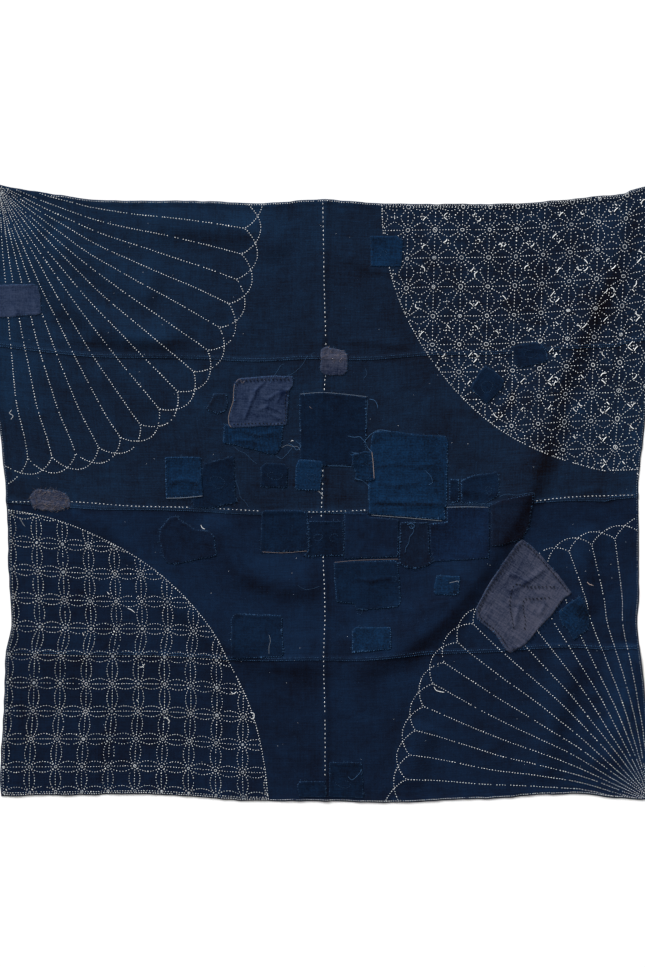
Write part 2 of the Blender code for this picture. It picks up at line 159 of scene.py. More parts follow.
# Patches: kind of cloth, layer, outline's corners in millimetres, turn of the weave in degrees, tone,
# and how ragged the edge is in millimetres
Patch = namedtuple("Patch", "name kind layer turn tone ragged outline")
PATCHES = (
    Patch("patch_grey_square", "grey", 2, 4, 0.04, 0.8, (
        (-200, 240), (-189, 251), (-119, 256), (-70, 256), (-70, 234), (-79, 223), (-84, 148),
        (-205, 141), (-211, 148), (-211, 166), (-200, 201))),
    Patch("patch_under_grey", "blue", 1, 86, -0.05, 1.4, (
        (-222, 148), (-92, 150), (-95, 111), (-99, 93), (-110, 82), (-123, 84), (-202, 104), (-224, 108))),
    Patch("patch_outline_small", "ground", 1, 12, -0.02, 1.2, (
        (-246, 218), (-216, 218), (-213, 190), (-220, 177), (-238, 172), (-262, 183), (-249, 205))),
    Patch("patch_blue_left", "blue", 2, 2, -0.06, 0.7, ((-352, 78), (-273, 78), (-268, -10), (-350, -15))),
    Patch("patch_dark_left", "dark", 1, 5, 0.03, 1.6, (
        (-266, 64), (-200, 80), (-198, 29), (-196, -17), (-191, -21), (-244, -35), (-288, -35), (-293, -17))),
    Patch("patch_dark_loop", "dark", 1, -4, 0.00, 1.0, (
        (-141, 56), (-132, 64), (-88, 64), (-81, 53), (-84, 9), (-143, 12))),
    Patch("patch_blue_centre", "blue", 2, 3, 0.02, 1.0, (
        (-57, 73), (-7, 69), (-4, 60), (-11, 3), (-62, 5), (-66, 12), (-64, 60))),
    Patch("patch_dark_top", "dark", 1, 1, 0.02, 0.7, ((-57, 216), (-2, 221), (92, 210), (90, 58), (-55, 58))),
    Patch("patch_white_top", "pale", 1, 3, 0.00, 2.0, (
        (-9, 315), (4, 320), (42, 311), (51, 300), (48, 262), (40, 256), (-2, 258), (-11, 269))),
    Patch("patch_blue_large", "blue", 1, 1, 0.00, 0.8, (
        (101, 119), (108, 133), (132, 137), (198, 128), (266, 124), (271, 113), (268, -28), (264, -37),
        (264, -61), (97, -48), (95, 7))),
    Patch("patch_blue_tab", "blue", 2, 6, -0.10, 1.8, (
        (59, 84), (88, 89), (103, 89), (110, 27), (92, 23), (66, 29), (70, 40), (59, 58))),
    Patch("patch_dark_narrow", "dark", 1, 0, -0.02, 0.8, ((273, 29), (295, 29), (295, -21), (273, -24))),
    Patch("patch_dark_strip", "dark", 1, -6, 0.00, 1.4, (
        (299, 27), (328, 38), (381, 45), (383, 9), (381, -8), (356, -24), (299, -24))),
    Patch("patch_violet", "violet", 1, 1, -0.06, 0.8, (
        (268, -32), (359, -30), (361, -37), (361, -145), (240, -153), (231, -127), (229, -68), (268, -65))),
    Patch("patch_brown_right", "brown", 1, 4, -0.10, 0.8, (
        (385, -17), (458, -2), (458, -21), (449, -76), (433, -103), (385, -118), (365, -118), (365, -28))),
    Patch("patch_brown_threads", "brown", 2, 88, 0.07, 1.2, (
        (165, -65), (227, -65), (231, -140), (240, -153), (222, -164), (194, -169), (172, -164),
        (163, -156))),
    Patch("patch_centre_wide", "ground_deep", 1, 1, 0.06, 0.8, (
        (42, -43), (90, -46), (99, -54), (163, -59), (161, -142), (42, -147))),
    Patch("patch_two_loops", "dark", 2, 2, -0.02, 1.0, (
        (-37, -63), (37, -63), (42, -74), (42, -140), (-51, -142), (-37, -129))),
    Patch("patch_centre_left", "dark", 1, 1, 0.05, 0.8, (
        (-139, -43), (-132, -39), (-48, -39), (-37, -48), (-35, -129), (-143, -134))),
    Patch("patch_lower_centre", "dark", 1, 2, 0.10, 1.1, (
        (18, -153), (154, -149), (161, -156), (167, -239), (161, -252), (88, -259), (68, -259), (64, -246),
        (24, -241))),
    Patch("patch_blue_small", "blue", 1, 3, -0.22, 1.3, (
        (244, -182), (297, -184), (295, -222), (286, -226), (242, -226), (238, -217))),
    Patch("patch_blue_bright", "blue", 1, 1, -0.12, 0.9, (
        (59, -307), (66, -296), (145, -296), (145, -345), (59, -354))),
    Patch("patch_pentagon", "ground_deep", 1, 7, -0.05, 1.8, (
        (-341, -54), (-326, -52), (-310, -65), (-286, -81), (-253, -85), (-242, -98), (-238, -140),
        (-284, -149), (-328, -158), (-348, -156), (-356, -142), (-365, -101), (-365, -81))),
    Patch("patch_lower_left", "dark", 1, 2, 0.04, 0.9, (
        (-207, -277), (-198, -266), (-95, -270), (-90, -356), (-97, -362), (-198, -367), (-207, -358))),
    Patch("patch_grey_edge", "grey", 1, 1, 0.17, 1.4, (
        (-724, 456), (-642, 458), (-631, 452), (-625, 430), (-623, 394), (-631, 390), (-724, 383))),
    Patch("patch_grey_fuzzy", "pale", 1, 12, -0.02, 2.6, (
        (-649, -6), (-634, 5), (-590, 3), (-568, -4), (-559, -24), (-561, -35), (-596, -41), (-642, -37))),
    Patch("patch_blue_star", "blue", 1, 2, 0.05, 0.8, (
        (99, 564), (158, 564), (172, 555), (169, 496), (101, 496))),
    Patch("patch_dark_star_left", "dark", 1, 40, 0.13, 1.6, (
        (352, 278), (372, 267), (396, 245), (387, 225), (356, 194), (337, 210), (321, 229), (326, 243),
        (343, 269))),
    Patch("patch_dark_star_right", "dark", 1, 8, -0.05, 1.6, (
        (411, 320), (460, 331), (477, 326), (488, 306), (491, 291), (480, 284), (433, 273), (422, 282),
        (418, 300))),
    Patch("patch_blue_fan", "blue", 1, 35, -0.10, 1.6, (
        (513, -263), (535, -244), (561, -228), (570, -239), (579, -259), (583, -288), (579, -301),
        (559, -316), (548, -327), (532, -301), (521, -292))),
    Patch("patch_grey_big", "pale", 2, 33, 0.13, 1.0, (
        (433, -103), (455, -118), (486, -151), (513, -182), (543, -222), (526, -233), (502, -266),
        (471, -299), (442, -334), (407, -354), (398, -347), (374, -312), (334, -279), (332, -255),
        (354, -211), (398, -145), (420, -114))),
    Patch("patch_hem_left", "dark", 1, 1, -0.06, 0.8, (
        (-62, -644), (-57, -635), (0, -635), (4, -671), (-57, -670))),
    Patch("patch_hem_right", "dark", 1, 1, 0.00, 0.9, ((9, -593), (81, -593), (86, -672), (9, -671))),
)

# Creases in patches, in the folds' form, and places where patches are lighter or darker
PATCH_CREASES = (
    Fold(1.3, 2.5, 5, ((-145, 234), (-161, 199), (-178, 155))),
    Fold(0.7, 2.5, 4, ((-128, 246), (-150, 225), (-166, 214))),
    Fold(0.7, 3, 3, ((-150, 178), (-128, 188), (-104, 180), (-92, 170))),
    Fold(0.7, 3, 3, ((-98, 236), (-96, 214), (-106, 196))),
    Fold(0.9, 5, 3, ((-68, 228), (-111, 215), (-132, 199))),
    Fold(0.6, 3, 4, ((-120, 200), (-130, 180), (-112, 165), (-92, 160))),
    Fold(0.6, 4, 3, ((-218, 128), (-187, 137), (-147, 124), (-101, 130))),
    Fold(0.6, 4, 3, ((-205, 115), (-165, 113), (-130, 100))),
    Fold(0.3, 5, 3, ((100, 52), (150, 60), (205, 55), (262, 62))),
    Fold(0.3, 5, 4, ((105, 20), (160, 12), (215, 22))),
    Fold(0.9, 8, 3, ((97, -22), (180, -26), (268, -25))),
    Fold(1.2, 4, 9, ((488, -164), (460, -188), (436, -202), (407, -221))),
    Fold(1.4, 7, 4, ((431, -238), (424, -259), (419, -283), (418, -302))),
    Fold(0.9, 5, 5, ((398, -178), (422, -185), (450, -202))),
    Fold(0.8, 5, 4, ((345, -259), (383, -293), (407, -326))),
    Fold(0.9, 5, 5, ((470, -215), (485, -245), (470, -275))),
    Fold(0.9, 4, 4, ((-700, 432), (-689, 419), (-678, 401), (-673, 388))),
    Fold(0.7, 4, 5, ((-345, 20), (-310, 28), (-275, 18))),
    Fold(0.7, 5, 4, ((60, -190), (100, -196), (150, -188))),
)
PATCH_FADES = (
    (20, 302, 38, 13, 0.36), (20, 267, 38, 14, -0.28), (472, -250, 50, 60, 0.26), (400, -190, 36, 50, -0.18),
    (430, -305, 60, 40, 0.16),
    (150, 30, 60, 70, 0.08), (240, 60, 26, 90, -0.10), (180, -44, 90, 14, 0.10), (-140, 240, 60, 20, 0.08),
    (-170, 120, 40, 20, 0.10), (-700, 420, 30, 40, 0.08), (-600, -20, 30, 12, 0.08),
    (440, -150, 36, 26, -0.16),
)

# Rows of sewing on the laid cloth, in millimetres
CENTRE_DOWN = (
    (-5, 640), (-3, 533), (-1, 423), (2, 324), (1, 256), (-1, 236), (-3, 137), (-5, 69), (-5, 27), (-8, -52),
    (-7, -83), (-4, -149), (0, -259), (-2, -325), (-3, -378), (0, -501), (0, -626),
)
CENTRE_ACROSS = (
    ((-691, -21), (-552, -21), (-429, -30), (-299, -33)),
    ((-235, -36), (-220, -37), (-143, -41)),
    ((-48, -43), (-4, -43), (92, -39)),
    ((462, -19), (550, -10), (680, -6)),
)
DARK_ROWS = (
    ((507, -207), (479, -207), (448, -207), (419, -202), (410, -216), (406, -240), (407, -259), (411, -278),
     (414, -300)),
    ((496, -231), (465, -233), (438, -235), (436, -259), (440, -283), (438, -302)),
    ((430, -112), (400, -155), (360, -213), (340, -255), (342, -275), (378, -306), (402, -340)),
    ((436, -112), (455, -126), (484, -158), (510, -188), (535, -220)),
    ((520, -236), (497, -270), (466, -303), (438, -336), (410, -345)),
    ((-194, 234), (-188, 244), (-119, 249), (-77, 249)),
    ((-204, 150), (-150, 152), (-92, 155), (-88, 200), (-84, 225)),
)

# Loose and laid threads: thickness in millimetres, brightness and the line they follow
Thread = namedtuple("Thread", "colour thick tone line")
THREADS = (
    Thread("white", 0.9, 0.12, ((-349, -13), (-310, -12), (-269, -8))),
    Thread("white", 0.7, 0.06, ((-55, 216), (-20, 219), (7, 219), (50, 215), (94, 210))),
    Thread("blue", 1.0, 0.90, ((97, 205), (109, 202), (115, 192), (116, 185))),
    Thread("pink", 1.5, 0.50, ((103, 89), (106, 63), (108, 30))),
    Thread("white", 0.8, 0.15, ((102, -50), (178, -56), (258, -63))),
    Thread("white", 0.8, 0.12, ((267, -33), (312, -32), (358, -33))),
    Thread("pink", 1.0, 0.25, ((-138, -131), (-90, -133), (-40, -129))),
    Thread("pink", 1.0, 0.20, ((21, -154), (64, -150), (116, -148), (162, -147))),
    Thread("white", 1.7, 0.70, ((-273, -72), (-270, -78), (-264, -81))),
    Thread("white", 0.7, 0.20, ((273, -199), (283, -197), (293, -195), (292, -200))),
    Thread("pink", 1.8, 0.75, ((576, -197), (581, -202), (590, -205))),
    Thread("white", 0.8, 0.10, ((-123, -313), (-120, -326), (-123, -340), (-123, -355))),
    Thread("blue", 0.8, 0.60, ((188, -71), (195, -85), (186, -99), (184, -111), (178, -121), (176, -133))),
    Thread("blue", 0.9, 0.80, ((181, -71), (190, -68), (197, -74), (190, -80), (184, -74))),
    Thread("white", 1.5, 0.85, ((240, -428), (244, -435), (251, -438), (262, -440))),
    Thread("white", 1.5, 0.75, ((-434, -255), (-425, -259), (-418, -265))),
    Thread("white", 1.3, 0.70, ((-408, -384), (-402, -384), (-396, -377))),
    Thread("white", 1.4, 0.75, ((-355, -494), (-348, -497), (-342, -503), (-345, -508))),
    Thread("white", 1.4, 0.75, ((-207, -439), (-201, -443), (-194, -438))),
    Thread("white", 0.8, 0.30, ((-670, -59), (-665, -68), (-660, -75))),
    Thread("white", 2.0, 0.90, ((-414, -456), (-412, -460))),
    Thread("white", 2.2, 0.90, ((-532, -311), (-530, -315))),
    Thread("white", 1.6, 0.80, ((-479, -219), (-474, -225))),
    Thread("blue", 1.0, 0.75, ((50, 124), (64, 121), (76, 122), (84, 115), (92, 107))),
    Thread("blue", 0.9, 0.70, ((85, 109), (92, 118), (103, 129), (121, 137), (145, 133))),
    Thread("blue", 0.8, 0.75, ((7, 58), (30, 58), (59, 56))),
    Thread("blue", 0.7, 0.70, ((94, 204), (92, 173), (92, 140))),
    Thread("blue", 1.0, 0.90, ((90, 106), (95, 97), (103, 89))),
    Thread("blue", 0.8, 0.80, ((66, 30), (81, 26), (92, 18), (100, 10))),
    Thread("blue", 0.8, 0.90, ((-81, 108), (-70, 102), (-62, 93), (-53, 102), (-64, 113))),
    Thread("white", 0.6, 0.10, ((-95, 98), (-84, 104), (-72, 101), (-60, 100), (-55, 92))),
    Thread("white", 1.0, 0.45, ((-15, 3), (-9, -2), (-4, -8))),
    Thread("white", 1.1, 0.55, ((-689, 181), (-694, 174), (-686, 168), (-691, 160))),
    Thread("white", 1.5, 0.85, ((-164, -484), (-156, -487), (-157, -498), (-163, -497))),
    Thread("white", 2.0, 0.85, ((686, 42), (690, 37))),
    Thread("blue", 0.9, 0.85, ((59, 89), (64, 86), (73, 86))),
    Thread("white", 1.3, 0.60, ((-75, 112), (-72, 114), (-69, 113))),
    Thread("pink", 0.9, 0.50, ((-34, 189), (-29, 184))),
    Thread("blue", 0.6, 0.50, ((-197, 27), (-190, 8), (-186, -10), (-176, -20), (-168, -32))),
    Thread("blue", 0.6, 0.50, ((-204, 104), (-190, 92), (-174, 84), (-160, 70), (-148, 62))),
    Thread("blue", 0.7, 0.40, ((-122, 240), (-104, 268), (-96, 280), (-88, 282))),
    Thread("blue", 0.7, 0.40, ((-92, 252), (-70, 262), (-52, 278), (-38, 300))),
    Thread("blue", 0.7, 0.55, ((-110, 82), (-96, 74), (-84, 84), (-72, 98))),
    Thread("blue", 0.6, 0.55, ((88, 273), (92, 261), (84, 249))),
    Thread("blue", 0.6, 0.40, ((-22, 309), (-30, 303), (-26, 296))),
    Thread("blue", 0.6, 0.50, ((383, -9), (400, -4), (422, -6), (457, -1), (460, -11))),
    Thread("blue", 0.7, 0.30, ((-60, -205), (-40, -214), (-12, -207))),
    Thread("blue", 0.7, 0.80, ((220, 48), (232, 36), (236, 22), (228, 16))),
    Thread("blue", 0.8, 0.70, ((50, -625), (60, -632), (74, -620), (80, -610))),
    Thread("pink", 2.2, 0.20, ((-199, 238), (-201, 220), (-202, 200), (-207, 185), (-212, 166), (-211, 150),
                               (-206, 143))),
    Thread("pink", 1.2, 0.16, ((-196, 243), (-188, 249), (-182, 240), (-176, 246))),
)

# Loops of thread sewn on patches: middle, half width, half height, and brightness
LOOPS = (
    (-110, 36, 14, 9, 0.75), (-15, -99, 8, 8, 0.65), (19, -99, 8, 8, 0.60), (76, -262, 7, 6, 0.85),
    (152, -190, 6, 5, 0.75), (40, -641, 15, 9, 0.55), (-236, 22, 16, 12, 0.50), (128, 524, 8, 6, 0.75),
    (192, -66, 7, 5, 0.80), (356, 232, 14, 11, 0.50), (452, 304, 12, 9, 0.40), (548, -278, 12, 15, 0.45),
    (-150, 122, 10, 6, 0.50), (360, 4, 7, 8, 0.55), (-30, 34, 9, 6, 0.55),
)


def mix(first, last, share):
    """The value that lies the given share of the way from first to last."""
    return first + (last - first) * share


def smooth_step(value, start, end):
    """A soft step from 0 at start to 1 at end."""
    share = np.clip((value - start) / (end - start), 0.0, 1.0)
    return share * share * (3.0 - 2.0 * share)


def bell(distance, width):
    """A soft hump, 1 at no distance and near 0 beyond twice the width."""
    return np.exp(-(distance / width) ** 2)


def noise(x, y, size, seed):
    """Smooth noise from -1 to 1 whose features are about the given size."""
    table = np.random.default_rng(seed).uniform(-1.0, 1.0, (64, 64))
    across, down = np.asarray(x) / size + 31.7, np.asarray(y) / size + 23.9
    column, row = np.floor(across).astype(int), np.floor(down).astype(int)
    share_x, share_y = smooth_step(across - column, 0, 1), smooth_step(down - row, 0, 1)
    first = mix(table[column % 64, row % 64], table[(column + 1) % 64, row % 64], share_x)
    last = mix(table[column % 64, (row + 1) % 64], table[(column + 1) % 64, (row + 1) % 64], share_x)
    return mix(first, last, share_y)


def edge_values(points, place):
    """Distances at places along an edge, on a smooth curve through the edge's points."""
    places, values = np.array(points, float).T
    last = len(places) - 1
    after = np.minimum(np.arange(last + 1) + 1, last)
    before = np.maximum(np.arange(last + 1) - 1, 0)
    slopes = (values[after] - values[before]) / (places[after] - places[before])
    index = np.clip(np.searchsorted(places, place, side="right") - 1, 0, last - 1)
    step = places[index + 1] - places[index]
    rise = values[index + 1] - values[index]
    share = (place - places[index]) / step
    bend_first = slopes[index] * step - rise
    bend_last = rise - slopes[index + 1] * step
    return values[index] + rise * share + share * (1 - share) * (bend_first * (1 - share) + bend_last * share)


def laid(u, v):
    """Place on the laid cloth of points given by their distance from its left and upper edge when flat."""
    across, down = u / WIDTH, v / DEPTH
    top_x = mix(TOP_EDGE[0][0], TOP_EDGE[-1][0], across)
    low_x = mix(BOTTOM_EDGE[0][0], BOTTOM_EDGE[-1][0], across)
    left_y = mix(LEFT_EDGE[-1][0], LEFT_EDGE[0][0], down)
    right_y = mix(RIGHT_EDGE[-1][0], RIGHT_EDGE[0][0], down)
    x = mix(edge_values(LEFT_EDGE, left_y), edge_values(RIGHT_EDGE, right_y), across) * MM
    y = mix(edge_values(TOP_EDGE, top_x), edge_values(BOTTOM_EDGE, low_x), down) * MM
    creep = RIGHT_CREEP * smooth_step(across, CREEP_START, CREEP_FULL) * (1.0 - (2.0 * down - 1.0) ** 4)
    side = np.minimum(u, WIDTH - u)
    end = np.minimum(v, DEPTH - v)
    x = x + SIDE_WANDER * noise(v, u, 0.021, 5) * bell(side, WANDER_REACH)
    y = y + END_WANDER * noise(u, v, 0.019, 6) * bell(end, WANDER_REACH)
    return x, y + creep


def flat_place(x, y):
    """Distances from the left and upper edge of the flat cloth for places on the laid cloth."""
    u, v = WIDTH * (x + 0.715) / 1.43, DEPTH * (0.660 - y) / 1.33
    for step in range(9):
        now_x, now_y = laid(u, v)
        u, v = u + x - now_x, v - (y - now_y)
    return u, v


def fold_swell(fold, x, y):
    """Height that one fold gives at places, all in millimetres."""
    crest = np.array(fold.crest, float)
    spans = np.diff(crest, axis=0)
    lengths = np.hypot(spans[:, 0], spans[:, 1])
    nearest, side, share = np.full(x.shape, 1e9), np.zeros(x.shape), np.zeros(x.shape)
    walked = 0.0
    for start, span, length in zip(crest, spans, lengths):
        along_x, along_y = span / length
        away_x, away_y = x - start[0], y - start[1]
        reach = np.clip(away_x * along_x + away_y * along_y, 0.0, length)
        distance = np.hypot(away_x - along_x * reach, away_y - along_y * reach)
        closer = distance < nearest
        nearest = np.where(closer, distance, nearest)
        side = np.where(closer, along_x * away_y - along_y * away_x, side)
        share = np.where(closer, (walked + reach) / lengths.sum(), share)
        walked += length
    width = np.where(side > 0, fold.left, fold.right)
    fade = smooth_step(share, 0.0, FOLD_FADE) * smooth_step(1.0 - share, 0.0, FOLD_FADE)
    return fold.height * fade * np.exp(-(nearest / width) ** 2)


def under_height(x, y):
    """Height of the cloth's underside over the floor, in metres."""
    swell = sum(fold_swell(fold, x / MM, y / MM) for fold in FOLDS)
    small = sum(fold_swell(fold, x / MM, y / MM) for fold in CREASES)
    return (np.maximum(swell - FLAT_BELOW, 0.0) + small) * MM


def relief(u, v):
    """Puckers, hems and the pressed crease through the middle, as height over the plain panel."""
    side = np.minimum(np.minimum(u, WIDTH - u), np.minimum(v, DEPTH - v))
    soft = 0.30 * noise(u, v, 0.050, 1) + 0.22 * noise(u, v, 0.017, 2) + 0.10 * noise(u, v, 0.008, 3)
    hem = 0.75 * (1.0 - smooth_step(side, 0.009, 0.0125)) * smooth_step(side, 0.0, 0.0022)
    edge = -0.85 * (1.0 - smooth_step(side, 0.0, 0.0016))
    pucker = 0.35 * noise(u, v, 0.006, 4) * (1.0 - smooth_step(side, 0.012, 0.022))
    left, right = np.maximum(PRESSED_U - u, 0.0), np.maximum(u - PRESSED_U, 0.0)
    pressed = 1.1 * np.exp(-(left / 0.014) ** 2 - (right / 0.0055) ** 2)
    return (soft + hem + edge + pucker + pressed) * MM


def lap_rise(v, index):
    """How much the lap of a felled seam stands over the panel below it."""
    start, end = SEAMS[index], SEAMS[index] + LAP
    return LAP_STEP * smooth_step(v, start - 0.005, start) * (1.0 - smooth_step(v, end - 0.0008, end))


def face_height(x, y, u=None, v=None, laps=True):
    """Height of the panels' upper face at places on the laid cloth, in metres."""
    if u is None:
        u, v = flat_place(x, y)
    height = under_height(x, y) + PANEL_THICKNESS + relief(u, v)
    if laps:
        for index in (1, 2, 3):
            height = height + lap_rise(v, index)
    return height


def inside_depth(x, y, outline):
    """Distance to an outline, above zero inside it and below zero outside."""
    nearest = np.full(x.shape, 1e9)
    inside = np.zeros(x.shape, bool)
    for (x0, y0), (x1, y1) in zip(outline, np.roll(outline, -1, axis=0)):
        span_x, span_y = x1 - x0, y1 - y0
        share = np.clip(((x - x0) * span_x + (y - y0) * span_y) / (span_x ** 2 + span_y ** 2), 0.0, 1.0)
        nearest = np.minimum(nearest, np.hypot(x - x0 - share * span_x, y - y0 - share * span_y))
        if y0 != y1:
            crosses = (y0 > y) != (y1 > y)
            inside ^= crosses & (x < x0 + (y - y0) * span_x / span_y)
    return np.where(inside, nearest, -nearest)


def cover_depth(x, y, layers):
    """For each patch of these layers near the places: the patch, which places, and their depth in it."""
    found = []
    for patch in PATCHES:
        if patch.layer in layers:
            outline = np.array(patch.outline) * MM
            low, high = outline.min(0) - 0.006, outline.max(0) + 0.006
            near = (x > low[0]) & (x < high[0]) & (y > low[1]) & (y < high[1])
            if near.any():
                found.append((patch, near, inside_depth(x[near], y[near], outline)))
    return found


def cover_height(x, y, layers):
    """How much patches of these layers raise what lies on them."""
    height = np.zeros(x.shape)
    for patch, near, depth in cover_depth(x, y, layers):
        rise = patch.layer * LAYER_STEP * smooth_step(depth, -0.003, 0.0004)
        height[near] = np.maximum(height[near], rise)
    return height


def is_covered(x, y):
    """Whether places lie under a patch."""
    hidden = np.zeros(x.shape, bool)
    for patch, near, depth in cover_depth(x, y, (1, 2)):
        hidden[near] |= depth > -0.0008
    return hidden


def fade_and_shade_tone(fades, x, y):
    """Sum of the lighter and darker places, for places in metres."""
    total = np.zeros(x.shape)
    for middle_x, middle_y, reach_x, reach_y, amount in fades:
        total += amount * np.exp(-((x / MM - middle_x) / reach_x) ** 2 - ((y / MM - middle_y) / reach_y) ** 2)
    return total


def crest_tone(folds, x, y):
    """How close places are to a crest, 1 on it and 0 away from it: on folds it marks dye worn off, in patches
    painted crease shade.
    """
    return sum((fold_swell(fold, x / MM, y / MM) / fold.height) ** 3 for fold in folds)


# Painted fold light and shade: the direction from which folds look lit, how much painted shade darkens the
# cloth where a fold rises towards it, and the step over which the rise is measured
LEE = (-0.50, 0.87)
PAINTED_SHADE_STRENGTH = 1.25
LEE_STEP = 0.003


def painted_fold_shade(height, x, y):
    """Painted shade where a height over places rises towards the light, and painted light where it falls."""
    step_x, step_y = LEE_STEP * LEE[0], LEE_STEP * LEE[1]
    slope = (height(x + step_x, y + step_y) - height(x - step_x, y - step_y)) / (2.0 * LEE_STEP)
    return -PAINTED_SHADE_STRENGTH * np.clip(slope, -0.10, 0.20)


def wrinkle_shade(x, y, size, seed):
    """Fine broken crease lines where painted shade darkens the cloth, from 0 beside them to 1 on them."""
    lines = (1.0 - np.abs(noise(x, y, size, seed))) ** 9
    return lines * smooth_step(noise(x, y, 1.7 * size, seed + 50), -0.1, 0.5)


def new_piece(name, verts, faces, uv=None, tone=None):
    """Smooth mesh object from places and arrays of faces, each array with one number of corners."""
    mesh = bpy.data.meshes.new(name)
    corners = np.concatenate([part.ravel() for part in faces]).astype(np.int32)
    counts = np.concatenate([np.full(len(part), part.shape[1]) for part in faces])
    starts = np.concatenate([[0], np.cumsum(counts)[:-1]]).astype(np.int32)
    mesh.vertices.add(len(verts))
    mesh.vertices.foreach_set("co", np.asarray(verts, np.float32).ravel())
    mesh.loops.add(len(corners))
    mesh.loops.foreach_set("vertex_index", corners)
    mesh.polygons.add(len(counts))
    mesh.polygons.foreach_set("loop_start", starts)
    mesh.update(calc_edges=True)
    mesh.shade_smooth()
    if uv is not None:
        layer = mesh.uv_layers.new(name="flat")
        layer.data.foreach_set("uv", np.asarray(uv, np.float32)[corners].ravel())
    if tone is not None:
        attribute = mesh.attributes.new("tone", "FLOAT", "POINT")
        attribute.data.foreach_set("value", np.asarray(tone, np.float32))
    piece = bpy.data.objects.new(name, mesh)
    bpy.context.scene.collection.objects.link(piece)
    return piece


def graded(start, end, cell, marks):
    """Places from start to end about a cell apart, and closer together beside the marks."""
    steps = np.array([0.0, 0.0008, 0.0018, 0.0035, 0.0055, 0.0080, 0.0105])
    near = np.concatenate([np.concatenate([mark + steps, mark - steps]) for mark in marks])
    even = np.linspace(start, end, round((end - start) / cell) + 1)
    places = np.unique(np.concatenate([even, near[(near > start) & (near < end)], [start, end]]))
    kept = [places[0]]
    for place in places[1:-1]:
        if place - kept[-1] > 0.00075 and places[-1] - place > 0.00075:
            kept.append(place)
    return np.array(kept + [places[-1]])


# Distance between the points of a panel's grid, and the columns' places across the cloth
CELL = 0.0064
COLUMN_PLACES = graded(0.0, WIDTH, CELL, [0.0, PRESSED_U, WIDTH])


def closed_grid(rows, columns):
    """Faces of a closed thin grid whose upper places come first, row by row, and then the lower ones."""
    index = np.arange(rows * columns).reshape(rows, columns)
    below = index + rows * columns
    quads = np.stack([index[1:, :-1], index[1:, 1:], index[:-1, 1:], index[:-1, :-1]], -1).reshape(-1, 4)
    rim = np.concatenate([index[:-1, 0], index[-1, :-1], index[:0:-1, -1], index[0, :0:-1]])
    low_rim = np.concatenate([below[:-1, 0], below[-1, :-1], below[:0:-1, -1], below[0, :0:-1]])
    walls = np.stack([rim, low_rim, np.roll(low_rim, -1), np.roll(rim, -1)], -1)
    return [quads, (quads + rows * columns)[:, ::-1], walls]


def panel_tone(x, y, u, v):
    """Tone of the panels' dye with its wear and with painted light and shade, 0.5 where it is plain."""
    side = np.minimum(np.minimum(u, WIDTH - u), np.minimum(v, DEPTH - v))
    # faded dye mixed with painted fold shade, and painted shade and light from the folds' slopes
    tone = 0.5 + fade_and_shade_tone(FADES_AND_PAINTED_SHADE, x, y) + painted_fold_shade(under_height, x, y)
    # painted shade in bands beside the folds
    tone += sum(fold_swell(band, x / MM, y / MM) for band in PAINTED_SHADE_BANDS)
    tone += 0.04 * crest_tone(FOLDS, x, y) + 0.03 * crest_tone(CREASES, x, y)
    tone += 0.07 * noise(u, v, 0.11, 11) + 0.06 * noise(u, v, 0.035, 12) + 0.05 * noise(0.3 * u, v, 0.011, 13)
    # painted shade in fine creases
    tone -= 0.13 * wrinkle_shade(u, v, 0.045, 14) + 0.10 * wrinkle_shade(u, v, 0.021, 15)
    # lighter worn edges, and a painted shade line where the hem steps down
    tone += 0.16 * np.exp(-side / 0.0015) - 0.06 * bell(side - 0.0125, 0.002)
    # painted shade on the steep side of the pressed crease and painted light on its other side
    tone -= 0.13 * bell(u - PRESSED_U - 0.0065, 0.0060) - 0.05 * bell(u - PRESSED_U + 0.007, 0.010)
    # painted shadow under each lap's edge, and a slightly lighter band on the lap
    for seam in SEAMS[1:-1]:
        tone -= 0.13 * bell(v - seam - LAP - 0.0024, 0.0030)
        tone += 0.03 * bell(v - seam - 0.004, 0.004)
    return tone


def add_panel(index):
    """One loom-width panel as a fine closed sheet, lapped over the next one at its lower seam."""
    name, depth, kind = PANELS[index]
    seam, lapped = SEAMS[index + 1], index < len(PANELS) - 1
    end = seam + (LAP if lapped else 0.0)
    row_places = graded(SEAMS[index], end, CELL, [SEAMS[index], seam, end])
    u, v = (grid.ravel() for grid in np.meshgrid(COLUMN_PLACES, row_places))
    x, y = laid(u, v)
    plain = face_height(x, y, u, v, laps=False)
    top, bottom = plain, under_height(x, y)
    if lapped:
        lap = LAP_STEP * (1.0 - 0.45 * smooth_step(v, end - 0.0016, end))
        top = plain + np.where(v < seam, lap_rise(v, index + 1), lap)
        bottom = np.where(v < seam - 0.0002, bottom, plain + 0.00012)
    verts = np.concatenate([np.stack([x, y, top], -1), np.stack([x, y, bottom], -1)])
    tone = panel_tone(x, y, u, v) + 0.03 * noise(np.full(1, index), np.zeros(1), 0.37, 9)
    uv = np.stack([u, DEPTH - v], -1) + index * np.array([3.1, 1.7])
    piece = new_piece(
        name + "_cloth", verts, closed_grid(len(row_places), len(COLUMN_PLACES)), np.tile(uv, (2, 1)),
        np.tile(tone, 2))
    piece.data.set_sharp_from_angle(angle=math.radians(70))
    return dress(piece, kind, name)


def ways_out(rim):
    """Directions square to a rim, at each of its points, to the right of the way it runs."""
    tangent = np.roll(rim, -1, axis=0) - np.roll(rim, 1, axis=0)
    tangent /= np.hypot(tangent[:, 0], tangent[:, 1])[:, None]
    return np.stack([tangent[:, 1], -tangent[:, 0]], -1)


